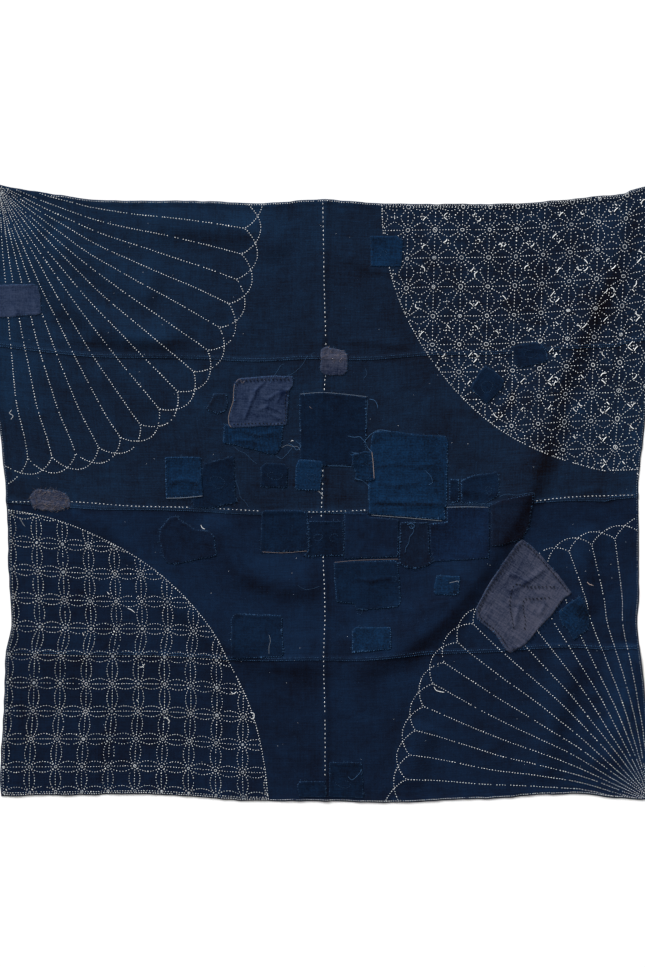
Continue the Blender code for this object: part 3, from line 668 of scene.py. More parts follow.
def fine_outline(patch, seed):
    """Outline of a patch with rounded corners, a slight wander and ragged places, in metres."""
    corners = np.array(patch.outline, float) * MM
    points = []
    for first, last in zip(corners, np.roll(corners, -1, axis=0)):
        count = max(1, round(math.dist(first, last) / 0.0021))
        points += [mix(first, last, step / count) for step in range(count)]
    points = np.array(points)
    for turn in range(2):
        points = (np.roll(points, 1, axis=0) + 2.0 * points + np.roll(points, -1, axis=0)) / 4.0
    x, y = points.T
    wander = 0.6 * noise(x, y, 0.016, seed) + 0.5 * noise(x, y, 0.0045, seed + 1)
    return points + ways_out(points) * (wander * patch.ragged * MM)[:, None]


def patch_creases(x, y):
    """Height of the creases in patches."""
    return sum(fold_swell(fold, x / MM, y / MM) for fold in PATCH_CREASES) * MM


def patch_relief(depth, x, y, seed):
    """Height of a patch's upper face over its lower one: turned edge, puckers and creases."""
    edge = 0.35 + 0.65 * smooth_step(depth, 0.0, 0.0016)
    turned = 0.32 * smooth_step(depth, 0.0004, 0.002) * (1.0 - smooth_step(depth, 0.0055, 0.008))
    pucker = 0.22 * noise(x, y, 0.007, seed + 2) * (1.0 - smooth_step(depth, 0.006, 0.014))
    soft = 0.22 * noise(x, y, 0.018, seed + 3) + 0.10 * noise(x, y, 0.007, seed + 4)
    return (PATCH_THICKNESS / MM * edge + turned + (pucker + soft) * smooth_step(depth, 0, 0.003)) * MM


def patch_base(patch, x, y):
    """Height of what a patch lies on."""
    return face_height(x, y) + cover_height(x, y, range(1, patch.layer)) + 0.00015


# Distance between a patch's points, finer in the worn grey ones, how far in from the rim its second row of
# points lies, and how much painted shade darkens its creases
PATCH_STEP = 0.0036
FINE_STEP = 0.0022
SECOND_ROW = 0.0016
PAINTED_CREASE_SHADE = 0.26
WORN_KINDS = ("grey", "pale")


def patch_net(rim, step):
    """Flat triangles of a patch, its points, and the ways out of it along the rim."""
    low, high = rim.min(0), rim.max(0)
    columns, rows = np.arange(low[0], high[0], step), np.arange(low[1], high[1], step)
    grid_x, grid_y = (grid.ravel() for grid in np.meshgrid(columns, rows))
    points = np.stack([grid_x, grid_y], -1) + RNG.uniform(-0.0008, 0.0008, (len(grid_x), 2))
    points = points[inside_depth(points[:, 0], points[:, 1], rim) > 0.0030]
    outwards = ways_out(rim)
    if inside_depth(*(rim[:1] + 0.0005 * outwards[:1]).T, rim)[0] > 0:
        outwards = -outwards
    inner = rim - SECOND_ROW * outwards
    inner = inner[inside_depth(inner[:, 0], inner[:, 1], rim) > 0.0012]
    places = [Vector(point) for point in np.concatenate([rim, inner, points])]
    out = delaunay_2d_cdt(places, [], [list(range(len(rim)))], 1, 1e-7)
    return np.array(out[0]), np.array([face for face in out[2] if len(face) == 3]), outwards


def patch_tone(patch, depth, x, y, seed):
    """Tone of a patch's dye with its wear and with painted light and shade, 0.5 where it is plain."""
    tone = 0.5 + patch.tone + fade_and_shade_tone(PATCH_FADES, x, y) + 0.06 * noise(x, y, 0.03, seed + 5)
    # painted shade and light from the slopes of folds and patch creases
    tone += painted_fold_shade(lambda to_x, to_y: under_height(to_x, to_y) + 1.5 * patch_creases(to_x, to_y), x, y)
    # painted shade along the crests of patch creases
    tone -= PAINTED_CREASE_SHADE * crest_tone(PATCH_CREASES, x, y)
    # lighter worn rim, and a painted shade line where the turned edge steps down
    tone += 0.10 * np.exp(-depth / 0.0011) - 0.07 * bell(depth - 0.0075, 0.002)
    # painted shade in fine creases, stronger on the worn grey cloths
    crease_shade_weight = 1.6 if patch.kind in WORN_KINDS else 0.7
    tone += 0.07 * noise(x, y, 0.011, seed + 6) + 0.06 * noise(x, y, 0.0055, seed + 7)
    return tone - crease_shade_weight * (0.16 * wrinkle_shade(x, y, 0.024, seed + 8) + 0.13 * wrinkle_shade(x, y, 0.011, seed + 9))


def patch_walls(faces, count):
    """Faces that join the border of the upper triangles to that of the lower ones, count places on."""
    sides = np.concatenate([faces[:, [0, 1]], faces[:, [1, 2]], faces[:, [2, 0]]])
    found, where, uses = np.unique(np.sort(sides, axis=1), axis=0, return_index=True, return_counts=True)
    border = sides[where[uses == 1]]
    return np.stack([border[:, 1], border[:, 0], border[:, 0] + count, border[:, 1] + count], -1)


def add_patch(index):
    """One patch as a fine closed sheet, draped on the layers below it."""
    patch = PATCHES[index]
    seed = 100 + 10 * index
    rim = fine_outline(patch, seed)
    flat, faces, outwards = patch_net(rim, FINE_STEP if patch.kind in WORN_KINDS else PATCH_STEP)
    x, y = flat[:, 0], flat[:, 1]
    depth = np.maximum(inside_depth(x, y, rim), 0.0)
    base = patch_base(patch, x, y)
    top = base + patch_relief(depth, x, y, seed) + patch_creases(x, y)
    tone = patch_tone(patch, depth, x, y, seed)
    count = len(flat)
    verts = np.concatenate([np.stack([x, y, top], -1), np.stack([x, y, base], -1)])
    turn = math.radians(patch.turn)
    uv = np.stack([x * math.cos(turn) - y * math.sin(turn), x * math.sin(turn) + y * math.cos(turn)], -1)
    uv = uv + np.array([seed * 0.37, seed * 0.53]) % 7.0
    all_faces = [faces, faces[:, ::-1] + count, patch_walls(faces, count)]
    piece = new_piece(patch.name + "_cloth", verts, all_faces, np.tile(uv, (2, 1)), np.tile(tone, 2))
    piece.data.set_sharp_from_angle(angle=math.radians(70))
    return dress(piece, patch.kind, patch.name), rim, outwards, patch


def srgb(red, green, blue):
    """Linear colour of an 8-bit screen colour."""
    shares = (red / 255, green / 255, blue / 255)
    return tuple(c / 12.92 if c < 0.04045 else ((c + 0.055) / 1.055) ** 2.4 for c in shares)


# Kinds of cloth: plain colour, light and dark multiples of it, weave pitch in metres, how slubby and how
# grainy it is, and record slot
Kind = namedtuple("Kind", "colour light dark pitch slub grain slot")
BLUE_LIGHT, BLUE_DARK = (1.25, 1.85, 1.95), (0.72, 0.30, 0.22)
GREY_LIGHT, GREY_DARK = (1.90, 1.65, 1.45), (0.30, 0.36, 0.50)
KINDS = {
    "ground": Kind(srgb(21.3, 34.5, 54.2), BLUE_LIGHT, BLUE_DARK, 0.0011, 0.9, 1.15, "indigo_ground"),
    "ground_deep": Kind(srgb(18.0, 30.0, 50.5), BLUE_LIGHT, BLUE_DARK, 0.0010, 0.6, 0.8, "indigo_deep"),
    "dark": Kind(srgb(15.2, 28.0, 47.5), BLUE_LIGHT, BLUE_DARK, 0.0010, 0.6, 1.5, "indigo_dark"),
    "blue": Kind(srgb(17.0, 38.0, 63.5), BLUE_LIGHT, BLUE_DARK, 0.0012, 0.9, 2.1, "indigo_blue"),
    "violet": Kind(srgb(17.0, 30.0, 52.5), BLUE_LIGHT, BLUE_DARK, 0.0010, 0.7, 1.5, "indigo_violet"),
    "brown": Kind(srgb(18.0, 26.0, 42.5), BLUE_LIGHT, BLUE_DARK, 0.0011, 0.7, 1.5, "indigo_brown"),
    "grey": Kind(srgb(38.5, 50.5, 75.5), GREY_LIGHT, GREY_DARK, 0.0013, 1.5, 2.2, "cotton_grey"),
    "pale": Kind(srgb(53.0, 59.0, 78.0), GREY_LIGHT, GREY_DARK, 0.0014, 1.9, 2.0, "cotton_pale"),
}
EXPOSURE = 1.17


def scaled(colour, factors=(1.0, 1.0, 1.0)):
    """A colour times factors, with the light's strength taken out."""
    return (*(c * f / EXPOSURE for c, f in zip(colour, factors)), 1.0)


def add_node(tree, kind, inputs=(), **settings):
    """A shader node with its settings, and its inputs given as numbers or as outputs to link."""
    node = tree.nodes.new(kind)
    for key, value in settings.items():
        setattr(node, key, value)
    for key, value in dict(inputs).items():
        if isinstance(value, bpy.types.NodeSocket):
            tree.links.new(value, node.inputs[key])
        else:
            node.inputs[key].default_value = value
    return node


def noise_node(tree, place, scale, detail, stretch=(1.0, 1.0, 1.0), shift=0.0):
    """Noise on flat cloth coordinates, stretched across or down."""
    moved = {"Vector": place, "Scale": stretch, "Location": (shift, shift, shift)}
    mapped = add_node(tree, "ShaderNodeMapping", moved)
    settings = {"Vector": mapped.outputs[0], "Scale": scale, "Detail": detail, "Roughness": 0.6}
    return add_node(tree, "ShaderNodeTexNoise", settings).outputs["Fac"]


def maths(tree, operation, first, second):
    """A sum, product or other step on two numbers or outputs."""
    return add_node(tree, "ShaderNodeMath", {0: first, 1: second}, operation=operation).outputs[0]


def ramp(tree, value, stops):
    """Colour ramp through (place, colour) stops."""
    node = add_node(tree, "ShaderNodeValToRGB", {"Fac": value})
    elements = node.color_ramp.elements
    while len(elements) < len(stops):
        elements.new(0.5)
    for element, (place, colour) in zip(elements, stops):
        element.position = place
        element.color = colour
    return node.outputs["Color"]


def new_material(name, roughness, shine):
    """A material with its node tree and its shader, as rough and as shiny as said."""
    material = bpy.data.materials.new(name)
    material.use_nodes = True
    shader = material.node_tree.nodes["Principled BSDF"]
    shader.inputs["Roughness"].default_value = roughness
    shader.inputs["Specular IOR Level"].default_value = shine
    return material, material.node_tree, shader


def add_bump(tree, shader, height, strength, distance):
    """Makes a surface uneven by a height output."""
    bump = add_node(tree, "ShaderNodeBump", {"Height": height, "Strength": strength, "Distance": distance})
    tree.links.new(bump.outputs["Normal"], shader.inputs["Normal"])


def cloth_material(name, kind):
    """Indigo or grey cotton: slubs along both threads, worn and mottled dye with the painted light and shade of
    the tone attribute, lint, and a woven bump.
    """
    material, tree, shader = new_material(name, 0.92, 0.015)
    place = add_node(tree, "ShaderNodeUVMap", uv_map="flat").outputs["UV"]
    tone = add_node(tree, "ShaderNodeAttribute", attribute_name="tone").outputs["Fac"]
    blotches = noise_node(tree, place, 9.0, 7.0)
    weft_slubs = noise_node(tree, place, 1.0, 4.0, (16.0, 330.0, 1.0), 1.0)
    warp_slubs = noise_node(tree, place, 1.0, 4.0, (300.0, 13.0, 1.0), 2.0)
    grain = noise_node(tree, place, 260.0, 2.0, shift=3.0)
    mottle = noise_node(tree, place, 60.0, 5.0, shift=4.0)
    weights = (
        (blotches, 0.55), (weft_slubs, 0.75 * kind.slub), (warp_slubs, 0.62 * kind.slub),
        (grain, 0.62 * kind.grain), (mottle, 0.50),
    )
    total = tone
    for value, weight in weights:
        total = maths(tree, "ADD", total, maths(tree, "MULTIPLY", maths(tree, "SUBTRACT", value, 0.5), weight))
    stops = (
        (0.0, scaled(kind.colour, kind.dark)),
        (0.5, scaled(kind.colour)),
        (1.0, scaled(kind.colour, kind.light)),
    )
    dyed = ramp(tree, total, stops)
    lint = noise_node(tree, place, 330.0, 1.0, shift=7.0)
    specks = ramp(tree, lint, ((0.735, (0, 0, 0, 1)), (0.80, (1, 1, 1, 1))))
    pale = scaled(tuple(4.0 * c + 0.02 for c in kind.colour))
    mixed = add_node(tree, "ShaderNodeMix", {"Factor": maths(tree, "MULTIPLY", specks, 0.5)}, data_type="RGBA")
    tree.links.new(dyed, mixed.inputs["A"])
    mixed.inputs["B"].default_value = pale
    tree.links.new(mixed.outputs["Result"], shader.inputs["Base Color"])
    split = add_node(tree, "ShaderNodeSeparateXYZ", {"Vector": place})
    turn = 2.0 * math.pi / kind.pitch
    weft = maths(tree, "SINE", maths(tree, "MULTIPLY", split.outputs["Y"], turn), 0.0)
    warp = maths(tree, "SINE", maths(tree, "MULTIPLY", split.outputs["X"], turn), 0.0)
    weave = maths(tree, "ADD", maths(tree, "MULTIPLY", weft, 0.30), maths(tree, "MULTIPLY", warp, 0.20))
    thick, grains = maths(tree, "MULTIPLY", weft_slubs, 2.2), maths(tree, "MULTIPLY", grain, 1.4)
    slubs = maths(tree, "ADD", thick, grains)
    add_bump(tree, shader, maths(tree, "ADD", weave, slubs), 0.55, 0.0006)
    return material


def thread_material(name, dull, bright):
    """Twisted cotton thread whose tone runs from dull to bright."""
    material, tree, shader = new_material(name, 0.85, 0.2)
    tone = add_node(tree, "ShaderNodeAttribute", attribute_name="tone").outputs["Fac"]
    place = add_node(tree, "ShaderNodeTexCoord").outputs["Object"]
    fibre = noise_node(tree, place, 1400.0, 2.0)
    total = maths(tree, "ADD", tone, maths(tree, "MULTIPLY", maths(tree, "SUBTRACT", fibre, 0.5), 0.35))
    tree.links.new(ramp(tree, total, ((0.0, (*dull, 1.0)), (1.0, (*bright, 1.0)))), shader.inputs["Base Color"])
    add_bump(tree, shader, fibre, 0.5, 0.0003)
    return material


THREAD_LOOKS = {
    "white": (thread_material("thread_white", (0.10, 0.14, 0.20), (0.92, 0.94, 0.94)), "thread_white"),
    "blue": (thread_material("thread_blue", (0.005, 0.016, 0.038), (0.050, 0.130, 0.270)), "thread_blue"),
    "dark": (thread_material("thread_dark", (0.004, 0.006, 0.012), (0.020, 0.024, 0.040)), "indigo_dark"),
    "pink": (thread_material("thread_beige", (0.050, 0.045, 0.055), (0.62, 0.50, 0.46)), "cotton_pale"),
}
CLOTH_LOOKS = {name: cloth_material("cotton_" + name, kind) for name, kind in KINDS.items()}


def dress(piece, kind, node):
    """Gives a cloth piece its material and body, and hides the solid it stands for."""
    piece.data.materials.append(CLOTH_LOOKS[kind])
    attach(piece, "root")
    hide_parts(node)
    return piece


def sewn(piece, colour):
    """Gives a thread piece its material and body."""
    material, slot = THREAD_LOOKS[colour]
    piece.data.materials.append(material)
    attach(piece, "root")
    return piece


def spaced(path, step=0.002):
    """A path with points at most a step apart."""
    path = np.asarray(path, float)
    walked = np.concatenate([[0.0], np.cumsum(np.hypot(*np.diff(path, axis=0).T))])
    places = np.linspace(0.0, walked[-1], max(2, math.ceil(walked[-1] / step) + 1))
    return np.stack([np.interp(places, walked, path[:, axis]) for axis in (0, 1)], -1)


def on_cloth(path):
    """A path in flat coordinates as points on the laid cloth."""
    path = spaced(path, 0.004)
    return np.stack(laid(path[:, 0], path[:, 1]), -1)


# A row of sewing: its path, the pitch, the visible share of it, and the gap at the first and last end
Row = namedtuple("Row", "path pitch share first_gap last_gap")


def sew(rows):
    """Both ends of every stitch along rows on the laid cloth."""
    starts, ends = [], []
    for row in rows:
        path = np.asarray(row.path, float)
        walked = np.concatenate([[0.0], np.cumsum(np.hypot(*np.diff(path, axis=0).T))])
        room = walked[-1] - row.first_gap - row.last_gap
        count = int(round(room / row.pitch))
        if count > 0:
            middles = row.first_gap + (np.arange(count) + 0.5) * room / count
            middles = middles + RNG.normal(0.0, 0.05, count) * row.pitch
            half = 0.5 * row.pitch * row.share * RNG.uniform(0.82, 1.18, count)
            for ends_of, sign in ((starts, -1.0), (ends, 1.0)):
                places = middles + sign * half
                ends_of.append(np.stack([np.interp(places, walked, path[:, axis]) for axis in (0, 1)], -1))
    starts, ends = np.concatenate(starts), np.concatenate(ends)
    return starts + RNG.normal(0, 0.00020, starts.shape), ends + RNG.normal(0, 0.00020, ends.shape)


# How much thicker a knotted stitch is, and the rings of a stitch's tube: number of sides, their places along
# the stitch, their sizes as shares of the radius, and their lifts over the cloth in the same measure
KNOT_SIZE = 1.8
RING_SIDES = 5
RING_SHARES = (0.10, 0.50, 0.90)
RING_SIZES = (0.72, 1.00, 0.72)
RING_LIFTS = (-0.25, 0.45, -0.25)


def stitch_piece(name, starts, ends, radius, tones, colour, lift=0.0, knots=0.0):
    """All stitches of one kind as plump short tubes that dip into the cloth at both ends."""
    count = len(starts)
    knotted = RNG.uniform(size=count) < knots
    radius = radius * RNG.uniform(0.84, 1.16, count) * np.where(knotted, KNOT_SIZE, 1.0)
    tones = np.where(knotted, 1.0, tones)
    span = ends - starts
    length = np.hypot(span[:, 0], span[:, 1])
    across = np.stack([-span[:, 1], span[:, 0]], -1) / length[:, None]
    turn = 2.0 * math.pi * (np.arange(RING_SIDES) + 0.25) / RING_SIDES
    verts = np.zeros((count, 3, RING_SIDES, 3))
    for ring in range(3):
        middle = starts + span * RING_SHARES[ring]
        height = face_height(middle[:, 0], middle[:, 1]) + lift + RING_LIFTS[ring] * radius
        size = radius * RING_SIZES[ring]
        verts[:, ring, :, :2] = middle[:, None] + across[:, None] * (size[:, None] * np.cos(turn))[..., None]
        verts[:, ring, :, 2] = height[:, None] + 0.75 * size[:, None] * np.sin(turn)
    base = (np.arange(count) * 3 * RING_SIDES)[:, None]
    side = np.arange(RING_SIDES)
    after = (side + 1) % RING_SIDES
    quads = []
    for ring in (0, 1):
        quad = np.stack([side, side + RING_SIDES, after + RING_SIDES, after], -1) + ring * RING_SIDES
        quads.append((base[:, :, None] + quad[None]).reshape(-1, 4))
    first_cap = base + side[None]
    last_cap = base + side[None, ::-1] + 2 * RING_SIDES
    faces = [*quads, first_cap, last_cap]
    return sewn(new_piece(name, verts.reshape(-1, 3), faces, tone=np.repeat(tones, 3 * RING_SIDES)), colour)


def smoothed(line, step=0.0025):
    """A smooth line through points, with points about a step apart."""
    points = np.asarray(line, float)
    padded = np.concatenate([[2 * points[0] - points[1]], points, [2 * points[-1] - points[-2]]])
    out = []
    for index in range(len(points) - 1):
        before, first, last, after = padded[index:index + 4]
        count = max(2, math.ceil(math.dist(first, last) / step))
        share = (np.arange(count) / count)[:, None]
        square = 2 * before - 5 * first + 4 * last - after
        cube = 3 * first - before - 3 * last + after
        out.append(0.5 * (2 * first + (last - before) * share + square * share ** 2 + cube * share ** 3))
    return np.concatenate([*out, points[-1:]])


def tube_piece(name, lines, colour, sides=5):
    """Threads as tubes: each line is points on the laid cloth, thickness, brightness and lift in metres."""
    all_verts, all_quads, all_tones, total = [], [], [], 0
    for points, thick, tone, lift in lines:
        x, y = points[:, 0], points[:, 1]
        closed = math.dist(points[0], points[-1]) < 1e-6
        height = face_height(x, y) + cover_height(x, y, (1, 2)) + lift
        if closed:
            x, y, height = x[:-1], y[:-1], height[:-1]
        places = np.stack([x, y], -1)
        if closed:
            along = np.roll(places, -1, axis=0) - np.roll(places, 1, axis=0)
        else:
            along = np.gradient(places, axis=0)
        along /= np.maximum(np.hypot(along[:, 0], along[:, 1]), 1e-9)[:, None]
        across = np.stack([-along[:, 1], along[:, 0]], -1)
        count = len(places)
        size = np.full(count, thick / 2.0)
        if not closed:
            size[[0, -1]] *= 0.45
        turn = 2.0 * math.pi * np.arange(sides) / sides
        ring = np.zeros((count, sides, 3))
        ring[:, :, :2] = places[:, None] + across[:, None] * (size[:, None] * np.cos(turn))[..., None]
        ring[:, :, 2] = height[:, None] + 0.8 * size[:, None] * np.sin(turn)
        side = np.arange(sides)
        after = (side + 1) % sides
        first = np.arange(count if closed else count - 1)
        second = (first + 1) % count
        quads = np.stack([
            first[:, None] * sides + side, second[:, None] * sides + side,
            second[:, None] * sides + after, first[:, None] * sides + after], -1).reshape(-1, 4)
        all_quads.append(quads + total)
        all_verts.append(ring.reshape(-1, 3))
        all_tones.append(np.full(count * sides, tone))
        total += count * sides
    return sewn(new_piece(
        name, np.concatenate(all_verts), [np.concatenate(all_quads)], tone=np.concatenate(all_tones)), colour)


# Looks of each kind of stitch: the thread's radius in metres, its dullest and brightest tone, the seed and
# the strength of its dull and bright places, the share of knotted stitches, and the thread's colour
Look = namedtuple("Look", "radius dullest brightest seed patchy knots colour")
STITCH_LOOKS = {
    "stitches_hemp_leaf": Look(0.00080, 0.62, 1.00, 41, 0.15, 0.015, "white"),
    "stitches_lattice": Look(0.00075, 0.48, 1.00, 42, 0.15, 0.010, "white"),
    "stitches_fan_left": Look(0.00090, 0.62, 1.00, 43, 0.15, 0.012, "white"),
    "stitches_fan_right": Look(0.00078, 0.62, 1.00, 44, 0.15, 0.012, "white"),
    "stitches_rims": Look(0.00090, 0.55, 1.00, 51, 0.15, 0.010, "white"),
    "stitches_centre": Look(0.00071, 0.50, 0.95, 52, 0.15, 0.008, "white"),
    "stitches_hems_white": Look(0.00078, 0.60, 1.00, 53, 0.25, 0.0, "white"),
    "stitches_hems_sides": Look(0.00078, 0.00, 0.25, 53, 0.25, 0.0, "white"),
    "stitches_seams": Look(0.00048, 0.30, 0.90, 54, 0.40, 0.0, "blue"),
    "stitches_dark": Look(0.00115, 0.00, 0.20, 55, 0.10, 0.0, "dark"),
    "stitches_patches_1": Look(0.00042, 0.00, 0.60, 61, 0.50, 0.0, "blue"),
    "stitches_patches_2": Look(0.00042, 0.00, 0.60, 62, 0.50, 0.0, "blue"),
}


def add_stitches(name, starts, ends, lift=0.0, thinned=1.0):
    """One kind of stitch with its own looks, each stitch's tone its own and drifting over the cloth."""
    look = STITCH_LOOKS[name]
    drift = noise(starts[:, 0], starts[:, 1], 0.07, look.seed) * look.patchy
    tones = np.clip(RNG.uniform(look.dullest, look.brightest, len(starts)) + drift, 0.02, 1.0)
    return stitch_piece(name, starts, ends, look.radius * thinned, tones, look.colour, lift, look.knots)


# Hemp-leaf corner, upper right, in metres: pitch, first node's inset, the rounded corner's reach, how far the
# grid leans and stretches downwards, how round the corner is, the points inside a cell and the lines between
# them, the visible share of a stitch's pitch, the gap round a node, and how often a cell has carried threads
# and a node a short thread across it
LEAF_ACROSS, LEAF_DOWN = 0.0597, 0.0632
LEAF_INSET = 0.010
LEAF_REACH = (0.605, 0.642)
LEAF_LEAN, LEAF_STRETCH = 0.006, 0.0175
ROUNDNESS = 1.92
LEAF_POINTS = {"T": (0.50, 0.28), "B": (0.50, 0.70), "L": (0.29, 0.50), "R": (0.70, 0.50)}
LEAF_LINES = (
    ("a", "T"), ("b", "T"), ("c", "B"), ("d", "B"), ("a", "L"), ("c", "L"), ("b", "R"), ("d", "R"),
)
LEAF_SHARE = 0.38
NODE_GAP = 0.0078
CARRIED_SHARE = 0.30
CROSSED_SHARE = 0.16


def in_corner(across, down, reach, margin):
    """Whether distances from a corner of the cloth are inside its round corner pattern."""
    shares = (np.maximum(away, 0.0) / (far - margin) for away, far in zip((across, down), reach))
    return sum(share ** ROUNDNESS for share in shares) < 1.0


def leaf_place(across, down):
    """Flat place in the hemp-leaf grid, counted from its right column and upper row."""
    lean = LEAF_LEAN * (down / 8.0) ** 2
    stretch = LEAF_STRETCH * smooth_step(down, 0.5, 5.0)
    return WIDTH - LEAF_INSET + lean - across * LEAF_ACROSS, max(LEAF_DOWN * down, 0.008) + stretch


def in_leaf(u, v, margin=0.0):
    """Whether flat places are in the hemp-leaf corner."""
    return in_corner(WIDTH - u, v, LEAF_REACH, margin) & (u < WIDTH - 0.0045) & (v > 0.0045)


def leaf_corner():
    """Rows, node rings and loose carried threads of the hemp-leaf corner."""
    rows, nodes, carried = [], [], []

    def add_row(first, last, pitch, gaps):
        rows.append(Row(on_cloth([at[first], at[last]]), pitch, LEAF_SHARE, *gaps))

    for column in range(11):
        for line in range(11):
            nodes.append(leaf_place(column, line))
            spot = {"a": (0.0, 0.0), "b": (1.0, 0.0), "c": (0.0, 1.0), "d": (1.0, 1.0)}
            for key, (fx, fy) in LEAF_POINTS.items():
                spot[key] = (fx + RNG.normal(0, 0.012), fy + RNG.normal(0, 0.012))
            at = {key: leaf_place(column + 1.0 - fx, line + fy) for key, (fx, fy) in spot.items()}
            for first, last in LEAF_LINES:
                add_row(first, last, RNG.uniform(0.0060, 0.0070), (NODE_GAP, 0.0010))
            add_row("b", "a", RNG.uniform(0.0062, 0.0072), (NODE_GAP, NODE_GAP))
            add_row("b", "d", RNG.uniform(0.0068, 0.0080), (NODE_GAP, NODE_GAP))
            add_row("L", "R", 0.0066, (0.003, 0.003))
            add_row("T", "B", 0.0066, (0.003, 0.003))
            for pair in (("L", "B"), ("T", "R"), ("B", "R"), ("T", "L")):
                if RNG.uniform() < CARRIED_SHARE:
                    first, last = (np.array(at[name]) for name in pair)
                    start, end = RNG.uniform(0.0, 0.35), RNG.uniform(0.7, 1.0)
                    carried.append([mix(first, last, start), mix(first, last, end)])
    return rows, nodes, carried


# Lens lattice, lower left: pitch, first node's inset, reach, an oval's half width, how much the lower row
# sags and the lower columns slide, and the visible share of a stitch's pitch
LENS_ACROSS, LENS_DOWN = 0.0597, 0.0620
LENS_INSET = (0.0075, 0.008)
LENS_REACH = (0.600, 0.630)
LENS_HALF = 0.0122
LENS_SAG = 0.0062
LENS_SLIDE = 0.0050
LENS_SHARE = 0.36


def lens_place(across, up):
    """Flat place in the lattice, counted from its left column and lower row."""
    sag = LENS_SAG * min(up, 1) * (1.0 - 0.06 * up)
    slide = LENS_SLIDE * math.sin(math.pi * min(across, 9) / 9.0) * max(1.0 - up / 3.0, 0.0)
    return LENS_INSET[0] + across * LENS_ACROSS - slide, DEPTH - LENS_INSET[1] - up * LENS_DOWN + sag


def in_lens(u, v, margin=0.0):
    """Whether flat places are in the lattice corner."""
    return in_corner(u, DEPTH - v, LENS_REACH, margin) & (u > 0.0035) & (v < DEPTH - 0.0035)


def lens_corner():
    """Rows and nodes of the lens lattice."""
    rows, nodes = [], []
    share = np.linspace(0.0, 1.0, 15)
    swell = LENS_HALF * np.sin(math.pi * share) ** 0.78
    for column in range(11):
        for line in range(11):
            nodes.append(lens_place(column, line))
            for step in ((1, 0), (0, 1)):
                first = np.array(lens_place(column, line))
                last = np.array(lens_place(column + step[0], line + step[1]))
                span = last - first
                across = np.array([-span[1], span[0]]) / np.hypot(*span)
                line_pitch, arc_pitch = RNG.uniform(0.0058, 0.0066, 2)
                rows.append(Row(on_cloth([first, last]), line_pitch, LENS_SHARE, 0.0055, 0.0055))
                for sign in (-1.0, 1.0):
                    arc = first + span * share[:, None] + sign * across * swell[:, None]
                    rows.append(Row(on_cloth(arc), arc_pitch * 0.97, LENS_SHARE, 0.0050, 0.0050))
    return rows, nodes


# Fans: where the first and the last ray start, the middle of the rays' ends, which way the rays run, the
# reach across and down, how much more the middle rays reach, how far petals stand out, how much the rays
# before the middle lag, how much wider the first and the last wedge are, and how far rays bow towards the
# last one and away from the middle
Fan = namedtuple("Fan", "first last middle turn reach swell bulge lag wider bow")
FANS = {
    "stitches_fan_left": Fan(
        (-0.004, -0.009), (0.017, 0.0), (0.002, 0.0), 1.0, (0.555, 0.602), 0.026, 0.036, 0.0, (0.0, 0.4),
        (0.009, 0.0)),
    "stitches_fan_right": Fan(
        (WIDTH + 0.002, DEPTH + 0.002), (WIDTH, DEPTH), (WIDTH, DEPTH + 0.003), -1.0, (0.550, 0.565), -0.027,
        0.029, 0.008, (0.4, 0.2), (0.0, -0.016)),
}
# How much more the petals of a wider wedge stand out, the petals between the edges of a fan, how far rays
# gather, and the visible share of a stitch's pitch; then the pitch, share and gap of the first stitches of a
# ray, the gap of the others, and how much thinner the thread is there, up to which distance
FLARE = 2.2
PETALS = 16
RAY_LAG = 0.011
RAY_SHARE = 0.40
NEAR_PITCH, NEAR_SHARE = 0.0050, 0.50
NEAR_THREAD, NEAR_START, NEAR_END = 0.68, 0.04, 0.22
RAY_SKIP, NEAR_SKIP = 0.008, 0.002


